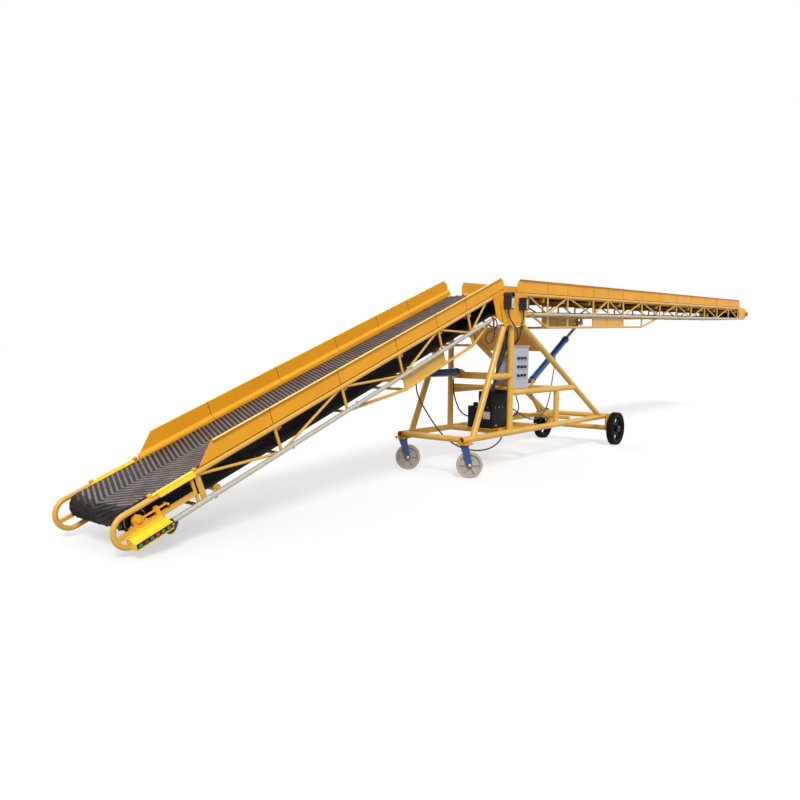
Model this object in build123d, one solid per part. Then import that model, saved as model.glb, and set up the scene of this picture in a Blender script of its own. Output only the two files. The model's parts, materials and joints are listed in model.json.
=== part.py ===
from build123d import *
import os
from dataclasses import dataclass
from math import atan2, cos, hypot, radians, sin, sqrt, tan

# Mobile belt conveyor: a feed boom and a discharge boom, each a pair of tube trusses that carries a flat
# belt, hinged at the top of a tubular trolley on two casters and two fixed wheels. Millimetres, Z up,
# +X towards the discharge end. Sizes along X are first given from the trolley's upright posts.

# Fits
SEAT = 0.3              # gap between a piece and what it is welded or bolted to
RUN = 0.6               # radial gap of a turning fit
SLIP = 6.0              # free gap beside a piece that swings
PAST = 5.0              # how far a cutter runs past what it cuts

# Width across the machine, which the trusses, the trolley and the rollers follow
BELT_W = 750.0
DRUM_SIDE = 10.0        # drums past each edge of the belt
ROLLER_SIDE = 5.0       # rollers past each edge of the belt
BELT_ROOM = 45.0        # belt's edge to the middle of a truss
RAIL_ROOM = 30.0        # middle of a truss to the middle of a rail
CHEEK_ROOM = 35.0       # middle of a truss to a cheek plate
BOOM_Y = BELT_W / 2 + BELT_ROOM     # trusses from the mid-plane
DRUM_W = BELT_W + 2 * DRUM_SIDE
ROLLER_W = BELT_W + 2 * ROLLER_SIDE

# Trolley frame
RAIL_Y = BOOM_Y + RAIL_ROOM         # rails' centre lines from the mid-plane
RAIL_Z = 434.0
TUBE_R = 38.0
TUBE_WALL = 4.0
SOCKET_DEPTH = 90.0     # open length at the rails' front ends
RAIL_FRONT_X = -1055.0
LEG_FOOT_X = -828.0
LEG_TOP_X = -176.0
BRACE_TOP_X = 271.0
BRACE_FOOT_X = 2693.0
FRAME_TOP_Z = 1758.0
SHORT_RAIL_Z = 1139.0
MID_RAIL_Z = 928.0
STUB_POST_X = 1237.0
HEAD_BAR_T = 12.0
HEAD_BAR_W = 80.0
HEAD_BAR_OVERHANG = 55.0
BRACE_PLATE_T = 6.0
BRACE_PLATE_Z = 1438.0  # lower edge of the plate between the rear braces

# Trolley cross members
CYLINDER_BEAM_Z = 1126.0
CYLINDER_BEAM_H = 84.0
CYLINDER_BEAM_W = 76.0
LOW_BEAM_Z = 985.0
LOW_BEAM_R = 27.0
PACK_BEAM_X = 320.0
BOX_BEAM_X = 735.0
BOX_BEAM_SIDE = 90.0
BOX_BEAM_WALL = 6.0
STRUT_BEAM_X = 1660.0
STRUT_R = 24.0
CROSS_R = 36.0          # round cross members, a little slimmer than the rails

# Rear axle and wheels
AXLE_X = 2890.0
AXLE_BEAM_Y = 500.0
AXLE_R = 20.0
WHEEL_Y = 620.0
WHEEL_R = 250.0
TYRE_W = 105.0
TYRE_DEPTH = 58.0
RIM_W = 70.0
RIM_T = 14.0
WHEEL_HUB_R = 48.0
WHEEL_HUB_W = 110.0
SPOKES = 6
SPOKE_W = 46.0
SPOKE_T = 22.0
TYRE_CROWN = 32.0       # half width of the tread's flat crown
TYRE_SHOULDER = 16.0
STUB_PROUD = 14.0       # wheel shafts beyond the hubs

# Casters
CASTER_X = -990.0
CASTER_TRAIL = 60.0
CASTER_TURN = -51.0     # heading of the trailing wheels about Z, degrees from +X
CASTER_R = 150.0
CASTER_W = 62.0
CASTER_HUB_R = 32.0
CASTER_RIM_T = 26.0
CASTER_EDGE = 6.0
CASTER_WEB_T = 16.0
CASTER_RIBS = 6
CASTER_PLATE = 150.0
CASTER_PLATE_T = 10.0
FORK_T = 7.0
FORK_TOP_W = 96.0
FORK_EYE_R = 30.0
SWIVEL_R = 52.0
SWIVEL_H = 30.0
CASTER_AXLE_R = 9.0
CASTER_AXLE_PROUD = 8.0
CASTER_RIB_T = 8.0
CASTER_RIB_INSET = 7.0  # ribs below the rim's edge, each side

# Pivots at the top of the trolley
PIVOT_X = 181.0
PIVOT_Z = 2028.0
CHEEK_T = 14.0
CHEEK_Y = BOOM_Y + CHEEK_ROOM       # inner face of the cheek plates
EAR_R = 92.0
CHEEK_FRONT = 30.0      # cheeks' feet beyond the legs and the braces
CHEEK_REAR = 40.0
SHAFT_R = 25.0

# Terminal boxes on the near shaft ends
TERMINAL_W = 84.0
TERMINAL_D = 92.0
TERMINAL_H = 158.0
TERMINAL_LID_T = 10.0
TERMINAL_LID_INSET = 8.0
TERMINAL_CORNER = 12.0
HOOD_SINK = 10.0        # hood's overlap into the box below it

# Switch cabinet and power pack
CABINET_X = 62.0
CABINET_W = 380.0
CABINET_D = 250.0
CABINET_H = 540.0
CABINET_Y = -452.0      # front face
DOOR_T = 22.0
DOOR_LAP = 3.0
DOOR_INSET = 6.0
STRAP_W = 60.0
STRAP_H = 40.0
STRAP_RISES = (60.0, 430.0)     # straps above the cabinet's floor
KNOB_FIELD = 280.0      # middle of the knobs above the cabinet's floor
KNOB_R = 17.0
KNOB_L = 24.0
KNOB_PITCH_X = 82.0
KNOB_PITCH_Z = 108.0
TANK_X = -150.0
TANK_Y = -290.0
TANK_L = 460.0
TANK_W = 370.0
TANK_H = 270.0
COWL_W = 230.0
COWL_H = 190.0
COWL_INSET = 20.0
COWL_SETBACK = 10.0
COWL_CORNER = 30.0
TANK_CORNER = 18.0
FILLER_R = 24.0
FILLER_H = 30.0
FILLER_X = 80.0         # filler neck from the tank's front, and from the cowl
FILLER_GAP = 70.0
TRAY_T = 6.0
TRAY_LIP = 30.0

# Cable clamp on the near post
CLAMP_W = 60.0
CLAMP_D = 56.0
CLAMP_H = 54.0
CLAMP_Z = FRAME_TOP_Z - 58.0

# Booms, common to both
CHORD_R = 21.0
HALF_DEPTH = 120.0      # chords above and below the pivot line
POST_R = 14.0
LACE_R = 12.0
SUB_R = 16.0
TIE_R = 14.0
TIE_DROP = 11.0         # cross ties hang this far below the lower chords
WEB_T = 8.0
SKIRT_T = 4.0
SKIRT_LIP = 22.0
SKIRT_CHAMFER = 50.0    # cut top corner of each first panel
SEAM = 3.0
END_PLATE_T = 8.0
END_PLATE = ((-100.0, 141.0), (210.0, 141.0), (210.0, -111.0), (130.0, -211.0), (-20.0, -211.0),
             (-100.0, -40.0))    # a and c of a hinge plate's corners
CHORD_START = -60.0     # chords begin this far behind the pivot
BELT_T = 9.0
DRIVE_DRUM_R = 90.0
ROLLER_R = 30.0
ROLLER_SHAFT_R = 9.0
HANGER_W = 44.0
HANGER_T = 6.0
HANGER_LAP = 16.0       # hangers past the shaft and past the chord's middle
ROLLER_OFFSET = 66.0    # rollers before each post

# Feed boom
FEED_SLOPE = -20.3
FEED_STATIONS = (751.0, 1343.0, 2063.0, 2941.0, 3809.0, 4696.0)
FEED_FIRST_LACE = 330.0
FEED_SKIRT_H = 174.0
FEED_SKIRT_START = -110.0
FEED_SKIRT_END = 4607.0
FEED_SKIRT_RAKE = 183.0
FEED_LOOP_A = 5280.0
FEED_DRUM_A = FEED_LOOP_A - 84.0
FEED_DRUM_C = 36.0
FEED_DRUM_R = 88.0
FEED_SUB_DROP = 150.0   # sub-frame below the lower chords
FEED_SUB = (300.0, 760.0, 2070.0, 2930.0)
FEED_WEB = (1350.0, 2070.0)
FEED_PIN_A = 1710.0
FEED_PIN_C = -305.0
FEED_RETURN_ROLLERS = (2180.0, 4480.0)
FLAT_POST_W = 50.0      # flat upright beside the last post
FLAT_POST_GAP = 56.0
GUARD_A = (4660.0, 5060.0)      # strips that cover the gap between belt and chords at the tail
GUARD_T = 4.0
GUARD_LAP = 21.0
GUARD_DROP = 12.0
CONDUIT_R = 20.0
CONDUIT_RISE = 20.0     # conduit's middle above the chord's
CONDUIT_A = 357.0       # conduit's end near the hinge

# Discharge boom
DISCHARGE_SLOPE = 1.47
DISCHARGE_STATIONS = (804.0, 1391.0, 2235.0, 2764.0, 3363.0, 4162.0, 5015.0, 5887.0, 6742.0, 7597.0,
                      8463.0, 9337.0, 10127.0)
DISCHARGE_FIRST_LACE = 270.0
DISCHARGE_SKIRT_H = 190.0
DISCHARGE_SKIRT_START = 10.0
DISCHARGE_SKIRT_END = 10290.0
DISCHARGE_SKIRT_RAKE = 120.0
DISCHARGE_CHORD_END = 10560.0
DISCHARGE_DRUM_A = DISCHARGE_CHORD_END + 130.0
DISCHARGE_DRUM_C = -5.0
DISCHARGE_DRUM_R = 68.0
DISCHARGE_SUB_DROP = 174.0
DISCHARGE_SUB = (320.0, 800.0, 4160.0, 5020.0)
DISCHARGE_WEB = (2235.0, 3363.0)
DISCHARGE_PIN_A = 2644.0
DISCHARGE_PIN_C = -226.0
DISCHARGE_RETURN_ROLLERS = (2500.0, 5400.0, 8000.0)
DISCHARGE_CONDUIT_R = 17.0
DISCHARGE_CONDUIT_A = (330.0, 10110.0)

# Tail of the feed boom: bearing bar, take-up and push-button box
BAR_C = -21.0
BAR_H = 30.0
BAR_W = 36.0
DRUM_SHAFT_R = 16.0
BEARING_R = 40.0
BEARING_L = 150.0
BEARING_FOOT = 14.0
SCREW_R = 8.0
SCREW_A = (FEED_DRUM_A - 247.0, FEED_DRUM_A - 26.0)
SCREW_C = 31.0
SCREW_HANDLE = 30.0
NUT_A = (70.0, 100.0)   # take-up nut from the screw's handle
NUT_C = 53.0
HEAD_PLATE_NOSE = 45.0
HEAD_PLATE_RAKE = 60.0
HEAD_CAP_W = 40.0
PANEL_A = (FEED_LOOP_A - 260.0, FEED_LOOP_A + 55.0)
PANEL_TOP_C = -23.0
PANEL_H = 86.0
PANEL_D = 96.0
PANEL_SLANT = 34.0
BUTTON_R = 15.0
BUTTON_L = 14.0
BUTTONS = 6

# Lift cylinders
BARREL_R = 46.0
ROD_R = 24.0
PIN_R = 14.0
EYE_R = 34.0
EYE_W = 50.0
LUG_T = 12.0
LUG_R = 40.0
PIN_SLACK = 14.0        # room round a rod's pin in its lugs
FEED_CYLINDER_Y = 230.0
FEED_BASE_X = -135.0
FEED_BASE_Z = 1176.0
FEED_BARREL_L = 1150.0
FEED_ROD_L = 860.0
DISCHARGE_CYLINDER_Y = 0.0
DISCHARGE_BASE_X = 1330.0
DISCHARGE_BASE_Z = 1010.0
DISCHARGE_BARREL_L = 1220.0
DISCHARGE_ROD_L = 1150.0
LUG_TUBE_R = 30.0
LUG_TUBE_RISE = 92.0
GLAND_L = 50.0
GLAND_PROUD = 7.0
NECK_SHARE = 0.6        # barrel's neck against its bore side
BORE_START = 94.0       # rod's bore from the base pin
PIN_HEAD_T = 8.0
PIN_PROUD = 10.0
PORT_R = 15.0
PORT_DROP = 80.0        # hose ports below the barrel's axis
FEED_PORTS = (120.0, 890.0)     # ports from the base pin
DISCHARGE_PORTS = (110.0, 830.0)

# Cords: width, and points of each route
LEAD_D = 16.0
HOSE_D = 18.0
BUNDLE_D = 34.0
CORD_ROUTES = {
    "hinge_loop": (LEAD_D, (
        (-480.2, -456.1, 1810.3), (-431, -458, 1828.5), (-382, -460, 1820), (-350, -462, 1780),
        (-358, -464, 1728), (-402, -465, 1698), (-458, -465, 1688), (-516, -465, 1680), (-574, -465, 1656),
        (-606, -465, 1606), (-592, -465, 1556), (-544, -464, 1532), (-486, -463, 1542), (-432, -459, 1576),
        (-386, -448, 1626), (-348, -424, 1682), (-300, -400, 1724), (-238, -384, 1746), (-166, -379, 1751),
        (-96, -379, 1743), (-32.2, -380, 1731.2))),
    "pack_bundle": (BUNDLE_D, (
        (0, -383, 1698.4), (6, -380, 1612), (0, -358, 1492), (-24, -334, 1374), (-56, -318, 1262),
        (-82, -300, 1160), (-90, -280, 1072), (-82, -262, 1000), (-78.2, -250.6, 941.3))),
    "feed_box_lead": (LEAD_D, (
        (-181, -515, 1948), (-181, -516, 1902), (-156, -518, 1842), (-98, -520, 1793), (-26, -519, 1750),
        (38, -516, 1700), (72, -510, 1635), (80, -490, 1578), (86, -447, 1540), (89.3, -418.5, 1512.8))),
    "discharge_box_lead": (LEAD_D, (
        (181, -515, 1948), (181, -516, 1902), (168, -518, 1842), (140, -520, 1783), (122, -518, 1715),
        (116, -512, 1645), (117, -490, 1583), (120, -449, 1541), (121.6, -418.6, 1512.8))),
    "feed_gland_hose": (HOSE_D, (
        (-1024.9, 230, 1079.6), (-1024, 230, 986), (-985, 212, 865), (-935, 155, 735), (-897, 76, 600),
        (-840, 2, 470), (-745, -66, 362), (-612, -130, 278), (-430, -190, 226), (-245, -236, 214),
        (-72, -262, 240), (70, -270, 300), (150, -265, 375), (167.7, -261.1, 467.9))),
    "feed_base_hose": (HOSE_D, (
        (-255, 230, 1093.2), (-255, 230, 1012), (-248, 227, 925), (-226, 223, 840), (-193, 216, 762),
        (-158, 204, 692), (-130, 172, 640), (-112, 124, 614), (-107.2, 82.1, 608.2))),
    "cabinet_cable": (LEAD_D, (
        (382, -300, 965.5), (384, -300, 905), (416, -299, 836), (470, -297, 772), (502, -292, 704),
        (490, -280, 640), (434, -262, 606), (366, -244, 606), (313.8, -230.8, 623.9))),
    "discharge_gland_hose": (HOSE_D, (
        (310.8, -180, 700), (390, -180, 702), (512, -178, 684), (668, -174, 626), (836, -164, 562),
        (1014, -150, 509), (1204, -131, 481), (1392, -110, 492), (1562, -90, 552), (1704, -70, 646),
        (1815, -50, 778), (1900, -30, 930), (1972, -14, 1082), (2040, -3, 1218), (2050, 0, 1341.7))),
}


@dataclass(frozen=True)
class Boom:
    """A boom's own line: a runs outwards from the pivot, c square to it and up."""
    pivot_x: float
    side: int
    slope: float

    def at(self, a, y, c):
        angle = radians(self.slope)
        x = self.pivot_x + self.side * (a * cos(angle) - c * sin(angle))
        return Vector(x, y, PIVOT_Z + a * sin(angle) + c * cos(angle))

    def plate(self, outline, y_low, thickness):
        points = [self.at(a, y_low, c) for a, c in outline]
        return extrude(make_face(Polyline(*points, close=True)), amount=thickness, dir=(0, 1, 0))

    def bar(self, a, c, half, radius):
        return tube(self.at(a, -half, c), self.at(a, half, c), radius)


def tube(start, end, radius):
    """A round bar between two points."""
    start, end = Vector(start), Vector(end)
    axis = end - start
    plane = Plane(origin=start, z_dir=axis)
    return plane.location * Cylinder(radius, axis.length, align=(Align.CENTER, Align.CENTER, Align.MIN))


def block(low, high):
    """A box between two opposite corners."""
    size = [h - l for l, h in zip(low, high)]
    return Pos(*low) * Box(*size, align=(Align.MIN, Align.MIN, Align.MIN))


def plate_xz(outline, y_low, thickness):
    """A plate of an X-Z outline, from y_low towards +Y."""
    face = make_face(Polyline(*[(x, y_low, z) for x, z in outline], close=True))
    return extrude(face, amount=thickness, dir=(0, 1, 0))


def weld(pieces):
    """All pieces as one solid."""
    return pieces[0].fuse(*pieces[1:]) if len(pieces) > 1 else pieces[0]


def loose(pieces):
    """Solids that lie apart, in one node."""
    return Compound([solid for piece in pieces for solid in piece.solids()])


def both_sides(piece):
    """A piece and its mirror across the mid-plane."""
    return [piece, piece.mirror(Plane.XZ)]


def cord(width, points):
    """A round cord of straight runs joined by tangent arcs, each as wide as its shorter run allows."""
    points = [Vector(point) for point in points]
    radii = []
    for before, corner, after in zip(points, points[1:], points[2:]):
        half_turn = radians((corner - before).get_angle(after - corner)) / 2
        radii.append(0.45 * min((corner - before).length, (after - corner).length) / tan(half_turn))
    path = FilletPolyline(*points, radius=radii)
    print(f"tightest bend {min(radii):.0f}, length {path.length:.0f}")
    section = Plane(origin=path @ 0, z_dir=path % 0) * Circle(width / 2)
    return sweep(section, path)


FEED = Boom(-PIVOT_X, -1, FEED_SLOPE)
DISCHARGE = Boom(PIVOT_X, 1, DISCHARGE_SLOPE)
nodes = {}


def leg_x(z):
    return LEG_FOOT_X + (LEG_TOP_X - LEG_FOOT_X) * (z - RAIL_Z) / (FRAME_TOP_Z - RAIL_Z)


def brace_x(z):
    return BRACE_FOOT_X + (BRACE_TOP_X - BRACE_FOOT_X) * (z - RAIL_Z) / (FRAME_TOP_Z - RAIL_Z)


# Trolley: two side frames of welded tube, tied by cross members
def side_frame(y):
    joints = [
        ((RAIL_FRONT_X, RAIL_Z), (AXLE_X - TUBE_R - SEAT, RAIL_Z)),
        ((LEG_FOOT_X, RAIL_Z), (LEG_TOP_X, FRAME_TOP_Z)),
        ((0, RAIL_Z), (0, FRAME_TOP_Z)),
        ((BRACE_FOOT_X, RAIL_Z), (BRACE_TOP_X, FRAME_TOP_Z)),
        ((leg_x(SHORT_RAIL_Z), SHORT_RAIL_Z), (0, SHORT_RAIL_Z)),
        ((0, MID_RAIL_Z), (brace_x(MID_RAIL_Z), MID_RAIL_Z)),
        ((STUB_POST_X, RAIL_Z), (STUB_POST_X, MID_RAIL_Z)),
    ]
    tubes = [tube((x1, y, z1), (x2, y, z2), TUBE_R) for (x1, z1), (x2, z2) in joints]
    bar_low = (LEG_TOP_X - HEAD_BAR_OVERHANG, y - HEAD_BAR_W / 2, FRAME_TOP_Z)
    bar_high = (BRACE_TOP_X + HEAD_BAR_OVERHANG, y + HEAD_BAR_W / 2, FRAME_TOP_Z + HEAD_BAR_T)
    frame = weld(tubes + [block(bar_low, bar_high)])
    above = block((bar_low[0] - TUBE_R, y - HEAD_BAR_W, bar_high[2]),
                  (bar_high[0] + 2 * TUBE_R, y + HEAD_BAR_W, bar_high[2] + 2 * TUBE_R))
    mouth = tube((RAIL_FRONT_X, y, RAIL_Z), (RAIL_FRONT_X + SOCKET_DEPTH, y, RAIL_Z), TUBE_R - TUBE_WALL)
    return frame - above - mouth


near_frame = side_frame(-RAIL_Y)
nodes["side_frame_near"] = near_frame
nodes["side_frame_far"] = near_frame.mirror(Plane.XZ)


def between_rails(x, z, radius):
    """A cross tube whose ends are coped to the side frames' tubes."""
    bar = tube((x, -RAIL_Y, z), (x, RAIL_Y, z), radius)
    for y in (-RAIL_Y, RAIL_Y):
        bar = bar - tube((x - 2 * TUBE_R, y, z), (x + 2 * TUBE_R, y, z), TUBE_R + SEAT)
        bar = bar - tube((x, y, z - 2 * TUBE_R), (x, y, z + 2 * TUBE_R), TUBE_R + SEAT)
    return bar


inner_y = RAIL_Y - TUBE_R - SEAT
cylinder_beam = block((-CYLINDER_BEAM_W / 2, -inner_y, CYLINDER_BEAM_Z - CYLINDER_BEAM_H / 2),
                      (CYLINDER_BEAM_W / 2, inner_y, CYLINDER_BEAM_Z + CYLINDER_BEAM_H / 2))
box_low_z = RAIL_Z - BOX_BEAM_SIDE / 2
box_beam = block((BOX_BEAM_X - BOX_BEAM_SIDE / 2, -inner_y, box_low_z),
                 (BOX_BEAM_X + BOX_BEAM_SIDE / 2, inner_y, box_low_z + BOX_BEAM_SIDE))
box_beam -= block((BOX_BEAM_X - BOX_BEAM_SIDE / 2 + BOX_BEAM_WALL, -inner_y, box_low_z + BOX_BEAM_WALL),
                  (BOX_BEAM_X + BOX_BEAM_SIDE / 2 - BOX_BEAM_WALL, inner_y,
                   box_low_z + BOX_BEAM_SIDE - BOX_BEAM_WALL))
strut_z = RAIL_Z + TUBE_R + STRUT_R + SEAT
strut = tube((STUB_POST_X, 0, MID_RAIL_Z), (STRUT_BEAM_X, 0, strut_z), STRUT_R)
for x, z, radius in ((STUB_POST_X, MID_RAIL_Z, CROSS_R), (STRUT_BEAM_X, strut_z, STRUT_R)):
    strut -= tube((x, -RAIL_Y, z), (x, RAIL_Y, z), radius + SEAT)
nodes["cross_members"] = loose([
    between_rails(CASTER_X, RAIL_Z, CROSS_R),
    strut,
    between_rails(0, RAIL_Z, CROSS_R),
    between_rails(PACK_BEAM_X, RAIL_Z, CROSS_R),
    between_rails(0, LOW_BEAM_Z, LOW_BEAM_R),
    between_rails(STUB_POST_X, MID_RAIL_Z, CROSS_R),
    cylinder_beam,
    box_beam,
    tube((STRUT_BEAM_X, -RAIL_Y, strut_z), (STRUT_BEAM_X, RAIL_Y, strut_z), STRUT_R),
])

# Plate between the rear braces, in their sloping plane
brace_plate_y = RAIL_Y - TUBE_R - SEAT
low, high = [(brace_x(z), z) for z in (BRACE_PLATE_Z, FRAME_TOP_Z - 3 * BRACE_PLATE_T)]
nodes["brace_plate"] = plate_xz(
    [low, (low[0], low[1] + BRACE_PLATE_T), (high[0], high[1] + BRACE_PLATE_T), high],
    -brace_plate_y, 2 * brace_plate_y)

# Cheek plates with an ear for each boom's pivot shaft
cheek_low_z = FRAME_TOP_Z + HEAD_BAR_T + SEAT


def cheek(y_low):
    left, right = LEG_TOP_X - CHEEK_FRONT, BRACE_TOP_X + CHEEK_REAR
    base = plate_xz([(left, cheek_low_z), (right, cheek_low_z), (PIVOT_X + EAR_R, PIVOT_Z),
                     (PIVOT_X - EAR_R, PIVOT_Z), (0, PIVOT_Z - EAR_R), (EAR_R - PIVOT_X, PIVOT_Z),
                     (-PIVOT_X - EAR_R, PIVOT_Z)], y_low, CHEEK_T)
    ears = [tube((x, y_low, PIVOT_Z), (x, y_low + CHEEK_T, PIVOT_Z), EAR_R) for x in (-PIVOT_X, PIVOT_X)]
    holes = [tube((x, y_low - PAST, PIVOT_Z), (x, y_low + CHEEK_T + PAST, PIVOT_Z), SHAFT_R + SEAT)
             for x in (-PIVOT_X, PIVOT_X)]
    return weld([base] + ears) - holes[0] - holes[1]


nodes["pivot_cheeks"] = loose([cheek(-CHEEK_Y - CHEEK_T), cheek(CHEEK_Y)])
shaft_half = CHEEK_Y + CHEEK_T
nodes["pivot_shafts"] = loose([tube((x, -shaft_half, PIVOT_Z), (x, shaft_half, PIVOT_Z), SHAFT_R)
                               for x in (-PIVOT_X, PIVOT_X)])


# Terminal boxes on the near ends of the shafts
def terminal_box(x, hooded):
    y_back = -shaft_half - SEAT
    low = (x - TERMINAL_W / 2, y_back - TERMINAL_D, PIVOT_Z - TERMINAL_H / 2)
    high = (x + TERMINAL_W / 2, y_back, PIVOT_Z + TERMINAL_H / 2)
    body = block(low, high)
    body = fillet(body.edges().filter_by(Axis.Y), TERMINAL_CORNER)
    inset = TERMINAL_LID_INSET
    lid = block((low[0] + inset, low[1] - TERMINAL_LID_T, low[2] + inset),
                (high[0] - inset, low[1], high[2] - inset))
    pieces = [body, lid]
    if hooded:
        hood = tube((x, low[1] + HOOD_SINK, high[2]), (x, high[1], high[2]), TERMINAL_W / 2)
        pieces.append(hood & block((low[0], low[1], high[2] - HOOD_SINK),
                                   (high[0], high[1], high[2] + TERMINAL_W)))
    return weld(pieces)


nodes["terminal_boxes"] = loose([terminal_box(-PIVOT_X, True), terminal_box(PIVOT_X, False)])

# Rear axle: a cross tube below the rails' ends on two end posts, with stub shafts for the wheels
drop_low = WHEEL_R
axle_tube = tube((AXLE_X, -AXLE_BEAM_Y, drop_low), (AXLE_X, AXLE_BEAM_Y, drop_low), TUBE_R)
top_tube = tube((AXLE_X, -AXLE_BEAM_Y, RAIL_Z), (AXLE_X, AXLE_BEAM_Y, RAIL_Z), TUBE_R)
posts = [block((AXLE_X - TUBE_R, y - TUBE_R, drop_low - TUBE_R), (AXLE_X + TUBE_R, y + TUBE_R, RAIL_Z + TUBE_R))
         for y in (-AXLE_BEAM_Y, AXLE_BEAM_Y)]
stub = WHEEL_Y + WHEEL_HUB_W / 2 + STUB_PROUD
stub_shaft = tube((AXLE_X, -stub, drop_low), (AXLE_X, stub, drop_low), AXLE_R)
nodes["rear_axle"] = weld([axle_tube, top_tube, stub_shaft] + posts)


# Rear wheels: tyre on a spoked rim
def tyre(y):
    inner = WHEEL_R - TYRE_DEPTH
    half = TYRE_W / 2
    wall, shoulder = inner + TYRE_DEPTH * 0.4, WHEEL_R - TYRE_SHOULDER
    outline = [(inner, -RIM_W / 2), (wall, -half), (shoulder, -half), (WHEEL_R, -TYRE_CROWN),
               (WHEEL_R, TYRE_CROWN), (shoulder, half), (wall, half), (inner, RIM_W / 2)]
    face = make_face(Polyline(*[(r, w, 0) for r, w in outline], close=True))
    return Pos(AXLE_X, y, WHEEL_R) * revolve(face, Axis.Y)


def rim(y):
    outer = WHEEL_R - TYRE_DEPTH - SEAT
    ring = Cylinder(outer, RIM_W) - Cylinder(outer - RIM_T, RIM_W + PAST)
    hub = Cylinder(WHEEL_HUB_R, WHEEL_HUB_W)
    length = outer - RIM_T / 2
    spoke = Pos(length / 2, 0, 0) * Box(length, SPOKE_W, SPOKE_T)
    spokes = [Rot(0, 0, 360 * i / SPOKES) * spoke for i in range(SPOKES)]
    wheel = weld([ring, hub] + spokes) - Cylinder(AXLE_R + RUN, WHEEL_HUB_W + PAST)
    return Pos(AXLE_X, y, WHEEL_R) * Rot(90, 0, 0) * wheel


for side, y in (("near", -WHEEL_Y), ("far", WHEEL_Y)):
    nodes[f"rear_tyre_{side}"] = tyre(y)
    nodes[f"rear_rim_{side}"] = rim(y)

# Casters: plates under the rails' front ends, swivel forks and ribbed wheels
plate_top = RAIL_Z - TUBE_R - SEAT
plate_low = plate_top - CASTER_PLATE_T
plate_half = CASTER_PLATE / 2
caster_plates = [block((CASTER_X - plate_half, y - plate_half, plate_low),
                       (CASTER_X + plate_half, y + plate_half, plate_top)) for y in (-RAIL_Y, RAIL_Y)]
swivel_top = plate_low - SEAT
fork_top = swivel_top - SWIVEL_H
fork_gap = CASTER_W / 2 + SLIP


def caster_fork():
    """A swivel fork with its swivel axis on Z and its wheel trailing along +X."""
    head = Pos(0, 0, swivel_top - SWIVEL_H / 2) * Cylinder(SWIVEL_R, SWIVEL_H)
    crown = Pos(0, 0, fork_top - FORK_T / 2) * Box(FORK_TOP_W, 2 * (fork_gap + FORK_T), FORK_T)
    eye = (CASTER_TRAIL, CASTER_R)
    slope = FORK_TOP_W / 2
    leg = plate_xz([(-slope, fork_top), (slope, fork_top), (eye[0] + FORK_EYE_R, eye[1]),
                    (eye[0] - FORK_EYE_R, eye[1])], fork_gap, FORK_T)
    leg = weld([leg, tube((eye[0], fork_gap, eye[1]), (eye[0], fork_gap + FORK_T, eye[1]), FORK_EYE_R)])
    reach = fork_gap + FORK_T + CASTER_AXLE_PROUD
    axle = tube((eye[0], -reach, eye[1]), (eye[0], reach, eye[1]), CASTER_AXLE_R)
    return weld([head, crown, axle] + both_sides(leg))


def caster_wheel():
    """A moulded wheel with a hub, a web and ribs, on the fork's axle."""
    half, inner = CASTER_W / 2, CASTER_R - CASTER_RIM_T
    outline = [(inner, -half), (CASTER_R - CASTER_EDGE, -half), (CASTER_R, CASTER_EDGE - half),
               (CASTER_R, half - CASTER_EDGE), (CASTER_R - CASTER_EDGE, half), (inner, half)]
    ring = revolve(make_face(Polyline(*[(r, 0, w) for r, w in outline], close=True)), Axis.Z)
    web = Cylinder(CASTER_R - CASTER_RIM_T / 2, CASTER_WEB_T)
    hub = Cylinder(CASTER_HUB_R, CASTER_W)
    rib_l = CASTER_R - CASTER_RIM_T / 2
    rib = Pos(rib_l / 2, 0, 0) * Box(rib_l, CASTER_RIB_T, CASTER_W - 2 * CASTER_RIB_INSET)
    ribs = [Rot(0, 0, 360 * i / CASTER_RIBS) * rib for i in range(CASTER_RIBS)]
    wheel = weld([ring, web, hub] + ribs) - Cylinder(CASTER_AXLE_R + RUN, CASTER_W + PAST)
    return Pos(CASTER_TRAIL, 0, CASTER_R) * Rot(90, 0, 0) * wheel


fork, wheel = caster_fork(), caster_wheel()
for side, y in (("near", -RAIL_Y), ("far", RAIL_Y)):
    nodes[f"caster_fork_{side}"] = Pos(CASTER_X, y, 0) * Rot(0, 0, CASTER_TURN) * fork
    nodes[f"caster_wheel_{side}"] = Pos(CASTER_X, y, 0) * Rot(0, 0, CASTER_TURN) * wheel

# Switch cabinet on the near mid rail, with its door and knobs
cabinet_low = (CABINET_X, CABINET_Y + DOOR_T, MID_RAIL_Z + TUBE_R + SEAT)
cabinet_high = (CABINET_X + CABINET_W, CABINET_Y + CABINET_D, cabinet_low[2] + CABINET_H)
door = block((cabinet_low[0] - DOOR_LAP, CABINET_Y, cabinet_low[2] + DOOR_INSET),
             (cabinet_high[0] + DOOR_LAP, cabinet_low[1], cabinet_high[2] - DOOR_INSET))
nodes["switch_cabinet"] = weld([block(cabinet_low, cabinet_high), door])
knob_mid = (CABINET_X + CABINET_W / 2, cabinet_low[2] + KNOB_FIELD)
nodes["cabinet_knobs"] = loose([
    tube((knob_mid[0] + i * KNOB_PITCH_X, CABINET_Y - KNOB_L, knob_mid[1] + k * KNOB_PITCH_Z),
         (knob_mid[0] + i * KNOB_PITCH_X, CABINET_Y - SEAT, knob_mid[1] + k * KNOB_PITCH_Z), KNOB_R)
    for i in (-1, 0, 1) for k in (-1, 0, 1)])
post_room = tube((0, -RAIL_Y, MID_RAIL_Z), (0, -RAIL_Y, FRAME_TOP_Z), TUBE_R + SEAT)
straps = [block((0, cabinet_low[1] + SEAT, cabinet_low[2] + rise),
                (CABINET_X - SEAT, cabinet_low[1] + STRAP_W, cabinet_low[2] + rise + STRAP_H)) - post_room
          for rise in STRAP_RISES]
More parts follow.
